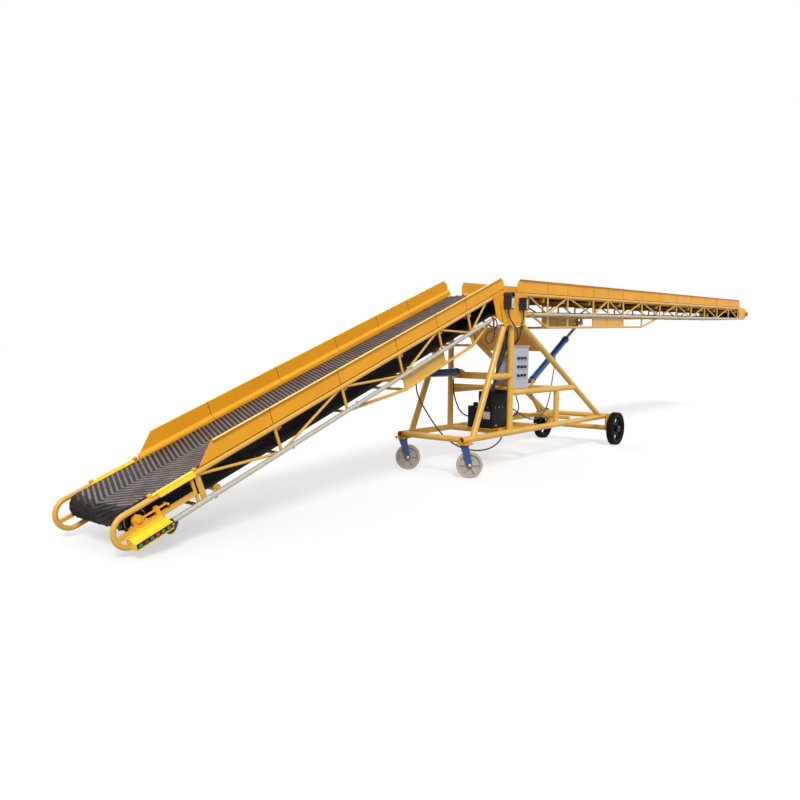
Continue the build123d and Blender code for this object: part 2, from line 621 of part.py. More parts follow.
clamp = block((-CLAMP_W / 2, -RAIL_Y + TUBE_R / 2, CLAMP_Z),
              (CLAMP_W / 2, -RAIL_Y + TUBE_R + CLAMP_D, CLAMP_Z + CLAMP_H)) - post_room

# Small plates welded or bolted to the trolley: caster plates, cabinet straps and the cable clamp
nodes["frame_brackets"] = loose(caster_plates + straps + [clamp])

# Power pack: oil tank on a tray, with the pump and motor under a cowl
tray_z = RAIL_Z + CROSS_R + SEAT
tray_low = (TANK_X - TRAY_LIP, TANK_Y - TRAY_LIP, tray_z)
tray_high = (TANK_X + TANK_L + TRAY_LIP, TANK_Y + TANK_W + TRAY_LIP, tray_z + TRAY_T)
nodes["pack_tray"] = block(tray_low, tray_high)
tank_z = tray_z + TRAY_T + SEAT
tank = block((TANK_X, TANK_Y, tank_z), (TANK_X + TANK_L, TANK_Y + TANK_W, tank_z + TANK_H))
filler = Pos(TANK_X + FILLER_X, TANK_Y + COWL_W + FILLER_GAP, tank_z + TANK_H)
filler *= Cylinder(FILLER_R, FILLER_H, align=(Align.CENTER, Align.CENTER, Align.MIN))
nodes["oil_tank"] = weld([fillet(tank.edges().filter_by(Axis.Z), TANK_CORNER), filler])
cowl_z = tank_z + TANK_H + SEAT
cowl = block((TANK_X + COWL_INSET, TANK_Y + COWL_SETBACK, cowl_z),
             (TANK_X + TANK_L - COWL_INSET, TANK_Y + COWL_W, cowl_z + COWL_H))
nodes["pump_cowl"] = fillet(cowl.edges().filter_by(Axis.Z), COWL_CORNER)


# Booms
def truss(boom, y, stations, first_lace, chord_end, sub_drop, sub, web):
    """One side of a boom: chords, posts, zigzag lacing, and a sub-frame with a web plate below."""
    low_c = -HALF_DEPTH
    sub_c = low_c - sub_drop
    bars = [tube(boom.at(CHORD_START, y, c), boom.at(chord_end, y, c), CHORD_R) for c in (HALF_DEPTH, low_c)]
    for a in stations:
        bars.append(tube(boom.at(a, y, low_c), boom.at(a, y, HALF_DEPTH), POST_R))
    zigzag = (first_lace,) + tuple(stations)
    for i, (a1, a2) in enumerate(zip(zigzag, zigzag[1:])):
        c1, c2 = (HALF_DEPTH, low_c) if i % 2 == 0 else (low_c, HALF_DEPTH)
        bars.append(tube(boom.at(a1, y, c1), boom.at(a2, y, c2), LACE_R))
    sub_points = [boom.at(a, y, c) for a, c in zip(sub, (low_c, sub_c, sub_c, low_c))]
    for start, end in zip(sub_points, sub_points[1:]):
        bars.append(tube(start, end, SUB_R))
    for corner in sub_points[1:3]:
        bars.append(Pos(*corner) * Sphere(SUB_R))
    for a in stations:
        if sub[1] - SUB_R < a < sub[2] + SUB_R:
            bars.append(tube(boom.at(a, y, sub_c), boom.at(a, y, low_c), POST_R))
    bars.append(boom.plate([(web[0], low_c), (web[1], low_c), (web[1], sub_c), (web[0], sub_c)],
                           y - WEB_T / 2, WEB_T))
    return bars


def tail_loop(y):
    """The bend that joins a side's two chords round the tail, the bar across it and a flat upright."""
    path = ThreePointArc(FEED.at(FEED_LOOP_A, y, HALF_DEPTH), FEED.at(FEED_LOOP_A + HALF_DEPTH, y, 0),
                         FEED.at(FEED_LOOP_A, y, -HALF_DEPTH))
    section = Plane(origin=path @ 0, z_dir=path % 0) * Circle(CHORD_R)
    half = sqrt(HALF_DEPTH ** 2 - BAR_C ** 2)
    bar = FEED.plate([(FEED_STATIONS[-1], BAR_C - BAR_H / 2), (FEED_LOOP_A + half, BAR_C - BAR_H / 2),
                      (FEED_LOOP_A + half, BAR_C + BAR_H / 2), (FEED_STATIONS[-1], BAR_C + BAR_H / 2)],
                     y - BAR_W / 2, BAR_W)
    flat_end = FEED_STATIONS[-1] - FLAT_POST_GAP + FLAT_POST_W / 2
    flat_start = flat_end - FLAT_POST_W
    flat = FEED.plate([(flat_start, -HALF_DEPTH), (flat_end, -HALF_DEPTH), (flat_end, HALF_DEPTH),
                       (flat_start, HALF_DEPTH)], y - WEB_T / 2, WEB_T)
    return [sweep(section, path), bar, flat]


near_feed = weld(truss(FEED, -BOOM_Y, FEED_STATIONS, FEED_FIRST_LACE, FEED_LOOP_A, FEED_SUB_DROP, FEED_SUB,
                       FEED_WEB) + tail_loop(-BOOM_Y))
nodes["feed_truss_near"] = near_feed
nodes["feed_truss_far"] = near_feed.mirror(Plane.XZ)
for side, y in (("near", -BOOM_Y), ("far", BOOM_Y)):
    nodes[f"discharge_truss_{side}"] = weld(truss(DISCHARGE, y, DISCHARGE_STATIONS, DISCHARGE_FIRST_LACE,
                                                  DISCHARGE_CHORD_END, DISCHARGE_SUB_DROP, DISCHARGE_SUB,
                                                  DISCHARGE_WEB))


def cross_ties(boom, stations, sub_drop, sub):
    """Tubes that tie the two trusses at the posts, below the return belt and along the sub-frame."""
    half = BOOM_Y - CHORD_R - SEAT
    sub_half = BOOM_Y - SUB_R - SEAT
    ties = [boom.bar(a, -HALF_DEPTH - TIE_DROP, half, TIE_R) for a in stations]
    return ties + [boom.bar(a, -HALF_DEPTH - sub_drop, sub_half, TIE_R) for a in sub[1:3]]


def lug_frame(boom, pin_a, pin_c, y, half):
    """Cross tube between the trusses with two lugs for a cylinder's rod pin."""
    c_tube = pin_c + LUG_TUBE_RISE
    pieces = [boom.bar(pin_a, c_tube, half, LUG_TUBE_R)]
    gap = EYE_W / 2 + SLIP
    for y_low in (y - gap - LUG_T, y + gap):
        neck = boom.plate([(pin_a - LUG_R, c_tube), (pin_a + LUG_R, c_tube), (pin_a + LUG_R, pin_c),
                           (pin_a - LUG_R, pin_c)], y_low, LUG_T)
        end = tube(boom.at(pin_a, y_low, pin_c), boom.at(pin_a, y_low + LUG_T, pin_c), LUG_R)
        hole = tube(boom.at(pin_a, y_low - PAST, pin_c), boom.at(pin_a, y_low + LUG_T + PAST, pin_c),
                    PIN_R + PIN_SLACK)
        pieces.append(weld([neck, end]) - hole)
    return weld(pieces)


nodes["feed_ties"] = loose(cross_ties(FEED, FEED_STATIONS, FEED_SUB_DROP, FEED_SUB))
nodes["feed_lugs"] = lug_frame(FEED, FEED_PIN_A, FEED_PIN_C, FEED_CYLINDER_Y, BOOM_Y - WEB_T / 2 - SEAT)
nodes["discharge_ties"] = loose(cross_ties(DISCHARGE, DISCHARGE_STATIONS, DISCHARGE_SUB_DROP, DISCHARGE_SUB))
nodes["discharge_lugs"] = lug_frame(DISCHARGE, DISCHARGE_PIN_A, DISCHARGE_PIN_C, DISCHARGE_CYLINDER_Y,
                                    BOOM_Y - CHORD_R - SEAT)


def skirts(boom, start, end, rake, stations, height):
    """Folded side sheets that stand on the top chords, one panel for each bay."""
    low = HALF_DEPTH + CHORD_R + SEAT
    high = HALF_DEPTH + height
    seams = [start] + [a for a in stations if a < end - 2 * rake] + [end]
    panels = []
    for i, (a1, a2) in enumerate(zip(seams, seams[1:])):
        a1 = a1 + (SEAM / 2 if i else 0)
        last = i == len(seams) - 2
        a2 = a2 if last else a2 - SEAM / 2
        top2 = a2 - rake if last else a2
        top1 = a1 if i else a1 + SKIRT_CHAMFER
        outline = [(a1, low), (a2, low), (top2, high), (top1, high)]
        if i == 0:
            outline.append((a1, high - SKIRT_CHAMFER))
        sheet = boom.plate(outline, -BOOM_Y - SKIRT_T / 2, SKIRT_T)
        lip = boom.plate([(top1, high - SKIRT_T), (top2, high - SKIRT_T), (top2, high), (top1, high)],
                         -BOOM_Y - SKIRT_T / 2 - SKIRT_LIP, SKIRT_LIP + SKIRT_T)
        panels += both_sides(weld([sheet, lip]))
    return loose(panels)


nodes["feed_skirts"] = skirts(FEED, FEED_SKIRT_START, FEED_SKIRT_END, FEED_SKIRT_RAKE, FEED_STATIONS,
                              FEED_SKIRT_H)
nodes["discharge_skirts"] = skirts(DISCHARGE, DISCHARGE_SKIRT_START, DISCHARGE_SKIRT_END,
                                   DISCHARGE_SKIRT_RAKE, DISCHARGE_STATIONS, DISCHARGE_SKIRT_H)


def end_plates(boom):
    """Hinge plates outside the chords, turning on the pivot shaft."""
    y_low = BOOM_Y + CHORD_R + SEAT
    plate = boom.plate(END_PLATE, y_low, END_PLATE_T)
    plate -= tube(boom.at(0, y_low - PAST, 0), boom.at(0, y_low + END_PLATE_T + PAST, 0), SHAFT_R + RUN)
    return loose(both_sides(plate))


nodes["feed_end_plates"] = end_plates(FEED)
nodes["discharge_end_plates"] = end_plates(DISCHARGE)


@dataclass(frozen=True)
class BeltRun:
    """A belt round a drive drum at the pivot and an end drum, with the lines of its two runs."""
    boom: Boom
    end_a: float
    end_c: float
    end_r: float

    def tangents(self, grow):
        r1, r2 = DRIVE_DRUM_R + grow, self.end_r + grow
        reach = hypot(self.end_a, self.end_c)
        turn = atan2(self.end_c, self.end_a)
        along = (cos(turn), sin(turn))
        across = (-sin(turn), cos(turn))
        lean = (r1 - r2) / reach
        rest = sqrt(1 - lean ** 2)
        sides = [(along[0] * lean + s * across[0] * rest, along[1] * lean + s * across[1] * rest)
                 for s in (1, -1)]
        ends = [(r1 * m[0], r1 * m[1], self.end_a + r2 * m[0], self.end_c + r2 * m[1]) for m in sides]
        nose = (self.end_a + r2 * along[0], self.end_c + r2 * along[1])
        heel = (-r1 * along[0], -r1 * along[1])
        return ends, nose, heel

    def line_c(self, a, side, grow):
        a1, c1, a2, c2 = self.tangents(grow)[0][side]
        return c1 + (c2 - c1) * (a - a1) / (a2 - a1)

    def loop(self, grow, y):
        (top, low), nose, heel = self.tangents(grow)
        at = self.boom.at
        return make_face([
            Line(at(top[0], y, top[1]), at(top[2], y, top[3])),
            ThreePointArc(at(top[2], y, top[3]), at(nose[0], y, nose[1]), at(low[2], y, low[3])),
            Line(at(low[2], y, low[3]), at(low[0], y, low[1])),
            ThreePointArc(at(low[0], y, low[1]), at(heel[0], y, heel[1]), at(top[0], y, top[1])),
        ])

    def belt(self):
        y = -BELT_W / 2
        outer = extrude(self.loop(SEAT + BELT_T, y), amount=BELT_W, dir=(0, 1, 0))
        return outer - extrude(self.loop(SEAT, y), amount=BELT_W, dir=(0, 1, 0))

    def roller(self, a, below):
        """A roller on its shaft between two hangers, under the carrying run or under the return run."""
        half = BOOM_Y - CHORD_R - SEAT
        if below:
            c = self.line_c(a, 1, SEAT + BELT_T) - ROLLER_R - SEAT
            c_chord = -HALF_DEPTH
        else:
            c = self.line_c(a, 0, 0) - ROLLER_R
            c_chord = HALF_DEPTH
        low, high = sorted((c, c_chord))
        low, high = low - HANGER_LAP, high + HANGER_LAP
        hanger = self.boom.plate([(a - HANGER_W / 2, low), (a + HANGER_W / 2, low), (a + HANGER_W / 2, high),
                                  (a - HANGER_W / 2, high)], half - HANGER_T, HANGER_T)
        shaft = self.boom.bar(a, c, half - HANGER_T / 2, ROLLER_SHAFT_R)
        return weld([self.boom.bar(a, c, ROLLER_W / 2, ROLLER_R), shaft] + both_sides(hanger))


feed_run = BeltRun(FEED, FEED_DRUM_A, FEED_DRUM_C, FEED_DRUM_R)
discharge_run = BeltRun(DISCHARGE, DISCHARGE_DRUM_A, DISCHARGE_DRUM_C, DISCHARGE_DRUM_R)
for name, run, stations, returns in (("feed", feed_run, FEED_STATIONS, FEED_RETURN_ROLLERS),
                                     ("discharge", discharge_run, DISCHARGE_STATIONS,
                                      DISCHARGE_RETURN_ROLLERS)):
    nodes[f"{name}_belt"] = run.belt()
    nodes[f"{name}_rollers"] = loose([run.roller(a - ROLLER_OFFSET, False) for a in stations]
                                     + [run.roller(a, True) for a in returns])
    drum = run.boom.bar(0, 0, DRUM_W / 2, DRIVE_DRUM_R) - run.boom.bar(0, 0, DRUM_W / 2 + PAST, SHAFT_R + RUN)
    end_drum = run.boom.bar(run.end_a, run.end_c, DRUM_W / 2, run.end_r)
    end_shaft = run.boom.bar(run.end_a, run.end_c, BOOM_Y + BAR_W, DRUM_SHAFT_R)
    nodes[f"{name}_drums"] = loose([drum, weld([end_drum, end_shaft])])


# Tail bearings on the bars, with take-up screws
def tail_bearing(y):
    seat = BAR_C + BAR_H / 2 + SEAT
    y_low = y - BAR_W / 2
    foot = FEED.plate([(FEED_DRUM_A - BEARING_L / 2, seat), (FEED_DRUM_A + BEARING_L / 2, seat),
                       (FEED_DRUM_A + BEARING_L / 2, seat + BEARING_FOOT),
                       (FEED_DRUM_A - BEARING_L / 2, seat + BEARING_FOOT)], y_low, BAR_W)
    cap = tube(FEED.at(FEED_DRUM_A, y_low, FEED_DRUM_C), FEED.at(FEED_DRUM_A, y_low + BAR_W, FEED_DRUM_C),
               BEARING_R)
    neck = FEED.plate([(FEED_DRUM_A - BEARING_R, seat), (FEED_DRUM_A + BEARING_R, seat),
                       (FEED_DRUM_A + BEARING_R, FEED_DRUM_C), (FEED_DRUM_A - BEARING_R, FEED_DRUM_C)],
                      y_low, BAR_W)
    screw = tube(FEED.at(SCREW_A[0], y, SCREW_C), FEED.at(SCREW_A[1], y, SCREW_C), SCREW_R)
    handle = tube(FEED.at(SCREW_A[0], y - SCREW_HANDLE, SCREW_C),
                  FEED.at(SCREW_A[0], y + SCREW_HANDLE, SCREW_C), SCREW_R)
    nut_a = [SCREW_A[0] + step for step in NUT_A]
    nut = FEED.plate([(nut_a[0], seat), (nut_a[1], seat), (nut_a[1], NUT_C), (nut_a[0], NUT_C)], y_low, BAR_W)
    below = FEED.plate([(SCREW_A[0], seat - BEARING_R), (FEED_LOOP_A, seat - BEARING_R), (FEED_LOOP_A, seat),
                        (SCREW_A[0], seat)], y_low - PAST, BAR_W + 2 * PAST)
    bore = tube(FEED.at(FEED_DRUM_A, y - BAR_W, FEED_DRUM_C), FEED.at(FEED_DRUM_A, y + BAR_W, FEED_DRUM_C),
                DRUM_SHAFT_R + SEAT)
    return weld([foot, neck, cap, screw, handle, nut]) - below - bore


nodes["tail_bearings"] = loose([tail_bearing(-BOOM_Y), tail_bearing(BOOM_Y)])


# Head bearings: plates on the chords' ends that carry the head drum's shaft
def head_bearing():
    y_low = BOOM_Y + CHORD_R + SEAT
    a1, a2 = DISCHARGE_STATIONS[-1], DISCHARGE_DRUM_A
    nose, rake = a2 + HEAD_PLATE_NOSE, a2 - HEAD_PLATE_RAKE
    plate = DISCHARGE.plate([(a1, -HALF_DEPTH), (a1, HALF_DEPTH), (rake, HALF_DEPTH), (nose, HALF_DEPTH / 2),
                             (nose, -HALF_DEPTH / 3), (rake, -HALF_DEPTH)], y_low, END_PLATE_T)
    cap = tube(DISCHARGE.at(a2, y_low, DISCHARGE_DRUM_C),
               DISCHARGE.at(a2, y_low + HEAD_CAP_W, DISCHARGE_DRUM_C), BEARING_R)
    bore = tube(DISCHARGE.at(a2, 0, DISCHARGE_DRUM_C), DISCHARGE.at(a2, 2 * BOOM_Y, DISCHARGE_DRUM_C),
                DRUM_SHAFT_R + SEAT)
    return weld([plate, cap]) - bore


nodes["head_bearings"] = loose(both_sides(head_bearing()))

# Push-button box under the near bearing bar
panel_mid_a = (PANEL_A[0] + PANEL_A[1]) / 2
panel_back = -BOOM_Y - CHORD_R - SEAT
panel_low_c = PANEL_TOP_C - PANEL_H


def slanted_box():
    section = [(panel_back, PANEL_TOP_C), (panel_back - PANEL_D + PANEL_SLANT, PANEL_TOP_C),
               (panel_back - PANEL_D, PANEL_TOP_C - PANEL_SLANT), (panel_back - PANEL_D, panel_low_c),
               (panel_back, panel_low_c)]
    face = make_face(Polyline(*[FEED.at(PANEL_A[0], y, c) for y, c in section], close=True))
    return extrude(face, amount=PANEL_A[1] - PANEL_A[0], dir=FEED.at(1, 0, 0) - FEED.at(0, 0, 0))


nodes["button_box"] = slanted_box()
button_c = (panel_low_c + PANEL_TOP_C - PANEL_SLANT) / 2
button_pitch = (PANEL_A[1] - PANEL_A[0]) / (BUTTONS + 0.6)
button_face = panel_back - PANEL_D - SEAT
nodes["buttons"] = loose([
    tube(FEED.at(panel_mid_a + (i - (BUTTONS - 1) / 2) * button_pitch, button_face, button_c),
         FEED.at(panel_mid_a + (i - (BUTTONS - 1) / 2) * button_pitch, button_face - BUTTON_L, button_c),
         BUTTON_R) for i in range(BUTTONS)])


# Strips bent from the top chords down to the belt's edges, beside the tail drum
def guard_strip():
    chord_top = HALF_DEPTH + CHORD_R + SEAT
    edge = BELT_W / 2 + GUARD_LAP / 2
    section = [(BOOM_Y + GUARD_LAP, chord_top), (BOOM_Y - GUARD_LAP, chord_top), (edge, chord_top - GUARD_DROP)]
    section += [(y, c + GUARD_T) for y, c in reversed(section)]
    face = make_face(Polyline(*[FEED.at(GUARD_A[0], y, c) for y, c in section], close=True))
    return extrude(face, amount=GUARD_A[1] - GUARD_A[0], dir=FEED.at(1, 0, 0) - FEED.at(0, 0, 0))


nodes["guard_strips"] = loose(both_sides(guard_strip()))

# Conduits along the near lower chords: from the push-button box to the hinge, and out to the head
conduit_y = -BOOM_Y - sqrt((CHORD_R + SEAT + CONDUIT_R) ** 2 - CONDUIT_RISE ** 2)
conduit_c = CONDUIT_RISE - HALF_DEPTH
nodes["conduit"] = tube(FEED.at(CONDUIT_A, conduit_y, conduit_c),
                        FEED.at(PANEL_A[0] - SEAT, conduit_y, conduit_c), CONDUIT_R)
conduit_y = -BOOM_Y - CHORD_R - SEAT - DISCHARGE_CONDUIT_R
nodes["discharge_conduit"] = tube(DISCHARGE.at(DISCHARGE_CONDUIT_A[0], conduit_y, -HALF_DEPTH),
                                  DISCHARGE.at(DISCHARGE_CONDUIT_A[1], conduit_y, -HALF_DEPTH),
                                  DISCHARGE_CONDUIT_R)


# Lift cylinders: a barrel on a trolley bracket and a rod with a pin in the boom's lugs
@dataclass(frozen=True)
class LiftCylinder:
    """One lift cylinder between its bracket pin and its rod pin, at rest."""
    base: Vector
    tip: Vector
    barrel_l: float
    rod_l: float
    ports: tuple

    def along(self, distance):
        axis = (self.tip - self.base).normalized()
        return self.base + axis * distance

    def port(self, distance):
        top = self.along(distance)
        return tube(top, top - Vector(0, 0, PORT_DROP), PORT_R)

    def barrel(self):
        x, y, z = self.base
        eye = tube((x, y - EYE_W / 2, z), (x, y + EYE_W / 2, z), EYE_R)
        body = tube(self.along(EYE_R), self.along(self.barrel_l), BARREL_R)
        neck = tube(self.along(EYE_R / 3), self.along(EYE_R + PAST), BARREL_R * NECK_SHARE)
        gland = tube(self.along(self.barrel_l - GLAND_L), self.along(self.barrel_l), BARREL_R + GLAND_PROUD)
        bore = tube(self.along(BORE_START), self.along(self.barrel_l + PAST), ROD_R + RUN)
        pin_hole = tube((x, y - EYE_W, z), (x, y + EYE_W, z), PIN_R + RUN)
        ports = [self.port(distance) for distance in self.ports]
        return weld([eye, body, neck, gland] + ports) - bore - pin_hole

    def rod(self):
        x, y, z = self.tip
        reach = (self.tip - self.base).length
        shaft = tube(self.along(reach - self.rod_l), self.along(reach - EYE_R / 2), ROD_R)
        eye = tube((x, y - EYE_W / 2, z), (x, y + EYE_W / 2, z), EYE_R)
        half = EYE_W / 2 + SLIP + LUG_T + SLIP + PIN_HEAD_T
        pin = tube((x, y - half, z), (x, y + half, z), PIN_R)
        heads = [tube((x, y + s * (half - PIN_HEAD_T), z), (x, y + s * half, z), PIN_R + PIN_SLACK + PIN_HEAD_T)
                 for s in (-1, 1)]
        return weld([shaft, eye, pin] + heads)


feed_cylinder = LiftCylinder(Vector(FEED_BASE_X, FEED_CYLINDER_Y, FEED_BASE_Z),
                             FEED.at(FEED_PIN_A, FEED_CYLINDER_Y, FEED_PIN_C),
                             FEED_BARREL_L, FEED_ROD_L, FEED_PORTS)
discharge_cylinder = LiftCylinder(Vector(DISCHARGE_BASE_X, DISCHARGE_CYLINDER_Y, DISCHARGE_BASE_Z),
                                  DISCHARGE.at(DISCHARGE_PIN_A, DISCHARGE_CYLINDER_Y, DISCHARGE_PIN_C),
                                  DISCHARGE_BARREL_L, DISCHARGE_ROD_L, DISCHARGE_PORTS)
for name, cylinder in (("feed", feed_cylinder), ("discharge", discharge_cylinder)):
    nodes[f"{name}_barrel"] = cylinder.barrel()
    nodes[f"{name}_rod"] = cylinder.rod()


def base_bracket(cylinder, foot):
    """Two gusset plates and a pin that hold a barrel's eye on a cross member."""
    x, y, z = cylinder.base
    gap = EYE_W / 2 + SLIP
    half = gap + LUG_T + PIN_PROUD
    pieces = [tube((x, y - half, z), (x, y + half, z), PIN_R)]
    for y_low in (y - gap - LUG_T, y + gap):
        pieces.append(plate_xz(foot, y_low, LUG_T))
        pieces.append(tube((x, y_low, z), (x, y_low + LUG_T, z), EYE_R))
    return weld(pieces)


beam_face = -CYLINDER_BEAM_W / 2 - SEAT
beam_half = CYLINDER_BEAM_H / 2
feed_foot = [(beam_face, CYLINDER_BEAM_Z - beam_half), (beam_face, CYLINDER_BEAM_Z + beam_half),
             (FEED_BASE_X, FEED_BASE_Z + EYE_R), (FEED_BASE_X - EYE_R, FEED_BASE_Z),
             (FEED_BASE_X, FEED_BASE_Z - EYE_R)]
discharge_foot = [(STUB_POST_X - TUBE_R, MID_RAIL_Z), (STUB_POST_X + TUBE_R, MID_RAIL_Z),
                  (DISCHARGE_BASE_X + EYE_R, DISCHARGE_BASE_Z), (DISCHARGE_BASE_X, DISCHARGE_BASE_Z + EYE_R)]
cross_room = tube((STUB_POST_X, -RAIL_Y, MID_RAIL_Z), (STUB_POST_X, RAIL_Y, MID_RAIL_Z), CROSS_R + SEAT)
nodes["cylinder_brackets"] = loose([base_bracket(feed_cylinder, feed_foot),
                                    base_bracket(discharge_cylinder, discharge_foot) - cross_room])

# Cords between the hinge, the cabinet, the power pack and the cylinders
for name, (width, points) in CORD_ROUTES.items():
    nodes[name] = cord(width, points)

# The origin: on the floor, midway between the tail loop's end and the head belt's nose
tail_x = FEED.at(FEED_LOOP_A, 0, 0).X - HALF_DEPTH - CHORD_R
head_x = DISCHARGE.at(DISCHARGE_DRUM_A, 0, DISCHARGE_DRUM_C).X + DISCHARGE_DRUM_R + SEAT + BELT_T
ORIGIN_X = (tail_x + head_x) / 2

os.makedirs("parts", exist_ok=True)
for name, shape in nodes.items():
    export_step(Pos(-ORIGIN_X, 0, 0) * shape, f"parts/{name}.step")
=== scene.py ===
"""Dresses the mobile belt conveyor: finishes, belt ribs, fittings, hoses, studio and camera.

Sizes are millimetres, measured from the trolley's upright posts (x), the mid-plane (y) and the floor (z),
or along a boom (a), across it (y) and square to it (c). The two line classes turn places to metres, and
the factor MM turns lengths.
"""
import json
import logging
import math
from collections.abc import Sequence
from dataclasses import dataclass
from enum import Enum

import bmesh
import bpy
from mathutils import Matrix, Vector


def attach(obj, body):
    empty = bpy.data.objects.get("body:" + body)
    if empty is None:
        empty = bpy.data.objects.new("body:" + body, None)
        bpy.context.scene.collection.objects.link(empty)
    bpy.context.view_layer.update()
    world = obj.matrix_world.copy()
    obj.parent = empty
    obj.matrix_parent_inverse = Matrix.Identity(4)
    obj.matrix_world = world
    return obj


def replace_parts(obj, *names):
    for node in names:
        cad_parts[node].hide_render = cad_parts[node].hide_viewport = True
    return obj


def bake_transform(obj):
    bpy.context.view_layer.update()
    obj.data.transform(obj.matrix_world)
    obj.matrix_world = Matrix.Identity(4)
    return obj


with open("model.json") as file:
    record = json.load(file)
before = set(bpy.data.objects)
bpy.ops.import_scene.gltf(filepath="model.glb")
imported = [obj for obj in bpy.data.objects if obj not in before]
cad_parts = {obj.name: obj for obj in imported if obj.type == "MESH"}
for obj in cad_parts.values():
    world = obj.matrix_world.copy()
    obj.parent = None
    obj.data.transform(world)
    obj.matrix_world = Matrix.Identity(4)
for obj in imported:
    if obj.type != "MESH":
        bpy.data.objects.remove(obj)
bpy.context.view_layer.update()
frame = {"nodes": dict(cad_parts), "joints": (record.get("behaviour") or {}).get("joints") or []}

MM = 0.001
SLEEVE_PITCH = 11.0     # ribs of a corrugated cable sleeve
SLEEVE_RIB = 3.0
SEAT = 0.4              # gap that keeps a fitting's face from flickering against what carries it
BODY_SIDES = (-1, 1)
SHARP = 0.6             # angle in radians past which a chamfered shape's edges are broken
CREASE = 35.0           # angle in degrees past which an edge stays crisp
WELD = 0.00002          # vertices nearer than this, in metres, become one
TUBE_FACETS = 3
CORD_STEPS = 8          # points read from each stretch of a cord's smooth route
COAT_ROUGH = 0.12
BUMP_DEPTH = 0.002
NOISE_LOW = 0.3         # the range that a noise's values mostly fill
NOISE_HIGH = 0.7
SPECK_EDGE = 0.78       # noise value where specks would start at a share of 0
SPECK_REACH = 0.3       # how far a share of 1 lowers it
SPECK_BLUR = 0.06       # softness of a speck's edge
TAIL_DRUM = (5196.0, 36.0)      # a and c of the feed boom's outer drum
HEAD_DRUM = (10690.0, -5.0)     # a and c of the discharge boom's outer drum
DRIVE_BELT_R = 99.3     # the belts' outer face round the drums at the hinge, the tail and the head
TAIL_BELT_R = 97.3
HEAD_BELT_R = 77.3
PIVOT_X = 181.0         # the booms' pivots, from the posts and from the floor
PIVOT_Z = 2028.0
PLATE_FACE = 449.3      # outer faces of the booms' end plates

AHEAD = Vector((1, 0, 0))
UPRIGHT = Vector((0, 0, 1))
NEAR_OUT = Vector((0, -1, 0))

log = logging.getLogger("conveyor")

Point = tuple[float, float, float]
Outline = Sequence[tuple[float, float]]


def linear(colour: str) -> tuple[float, float, float, float]:
    """Turns an sRGB hex colour to linear RGBA.

    Args:
        colour: Six hex digits after a hash sign.

    Returns:
        Linear red, green, blue and an alpha of 1.
    """
    parts = [int(colour[i:i + 2], 16) / 255 for i in (1, 3, 5)]
    light = [p / 12.92 if p <= 0.04045 else ((p + 0.055) / 1.055) ** 2.4 for p in parts]
    return (light[0], light[1], light[2], 1.0)


def add_node(tree: bpy.types.NodeTree, kind: str, inputs: dict,
             settings: dict | None = None) -> bpy.types.Node:
    """Adds one shader node.

    Args:
        tree: Node tree that takes the node.
        kind: Blender's type name of the node.
        inputs: Values or sockets by input name or index; a socket is linked, a value is set.
        settings: Attributes of the node itself.

    Returns:
        The new node.
    """
    made = tree.nodes.new(kind)
    for name, value in (settings or {}).items():
        setattr(made, name, value)
    for name, value in inputs.items():
        if isinstance(value, bpy.types.NodeSocket):
            tree.links.new(value, made.inputs[name])
        else:
            made.inputs[name].default_value = value
    return made


class Grain(Enum):
    """How a finish's pattern runs over its surface."""
    CLOUD = (1.0, 1.0, 1.0)
    STREAK_X = (0.06, 1.0, 1.0)
    STREAK_Y = (1.0, 0.06, 1.0)


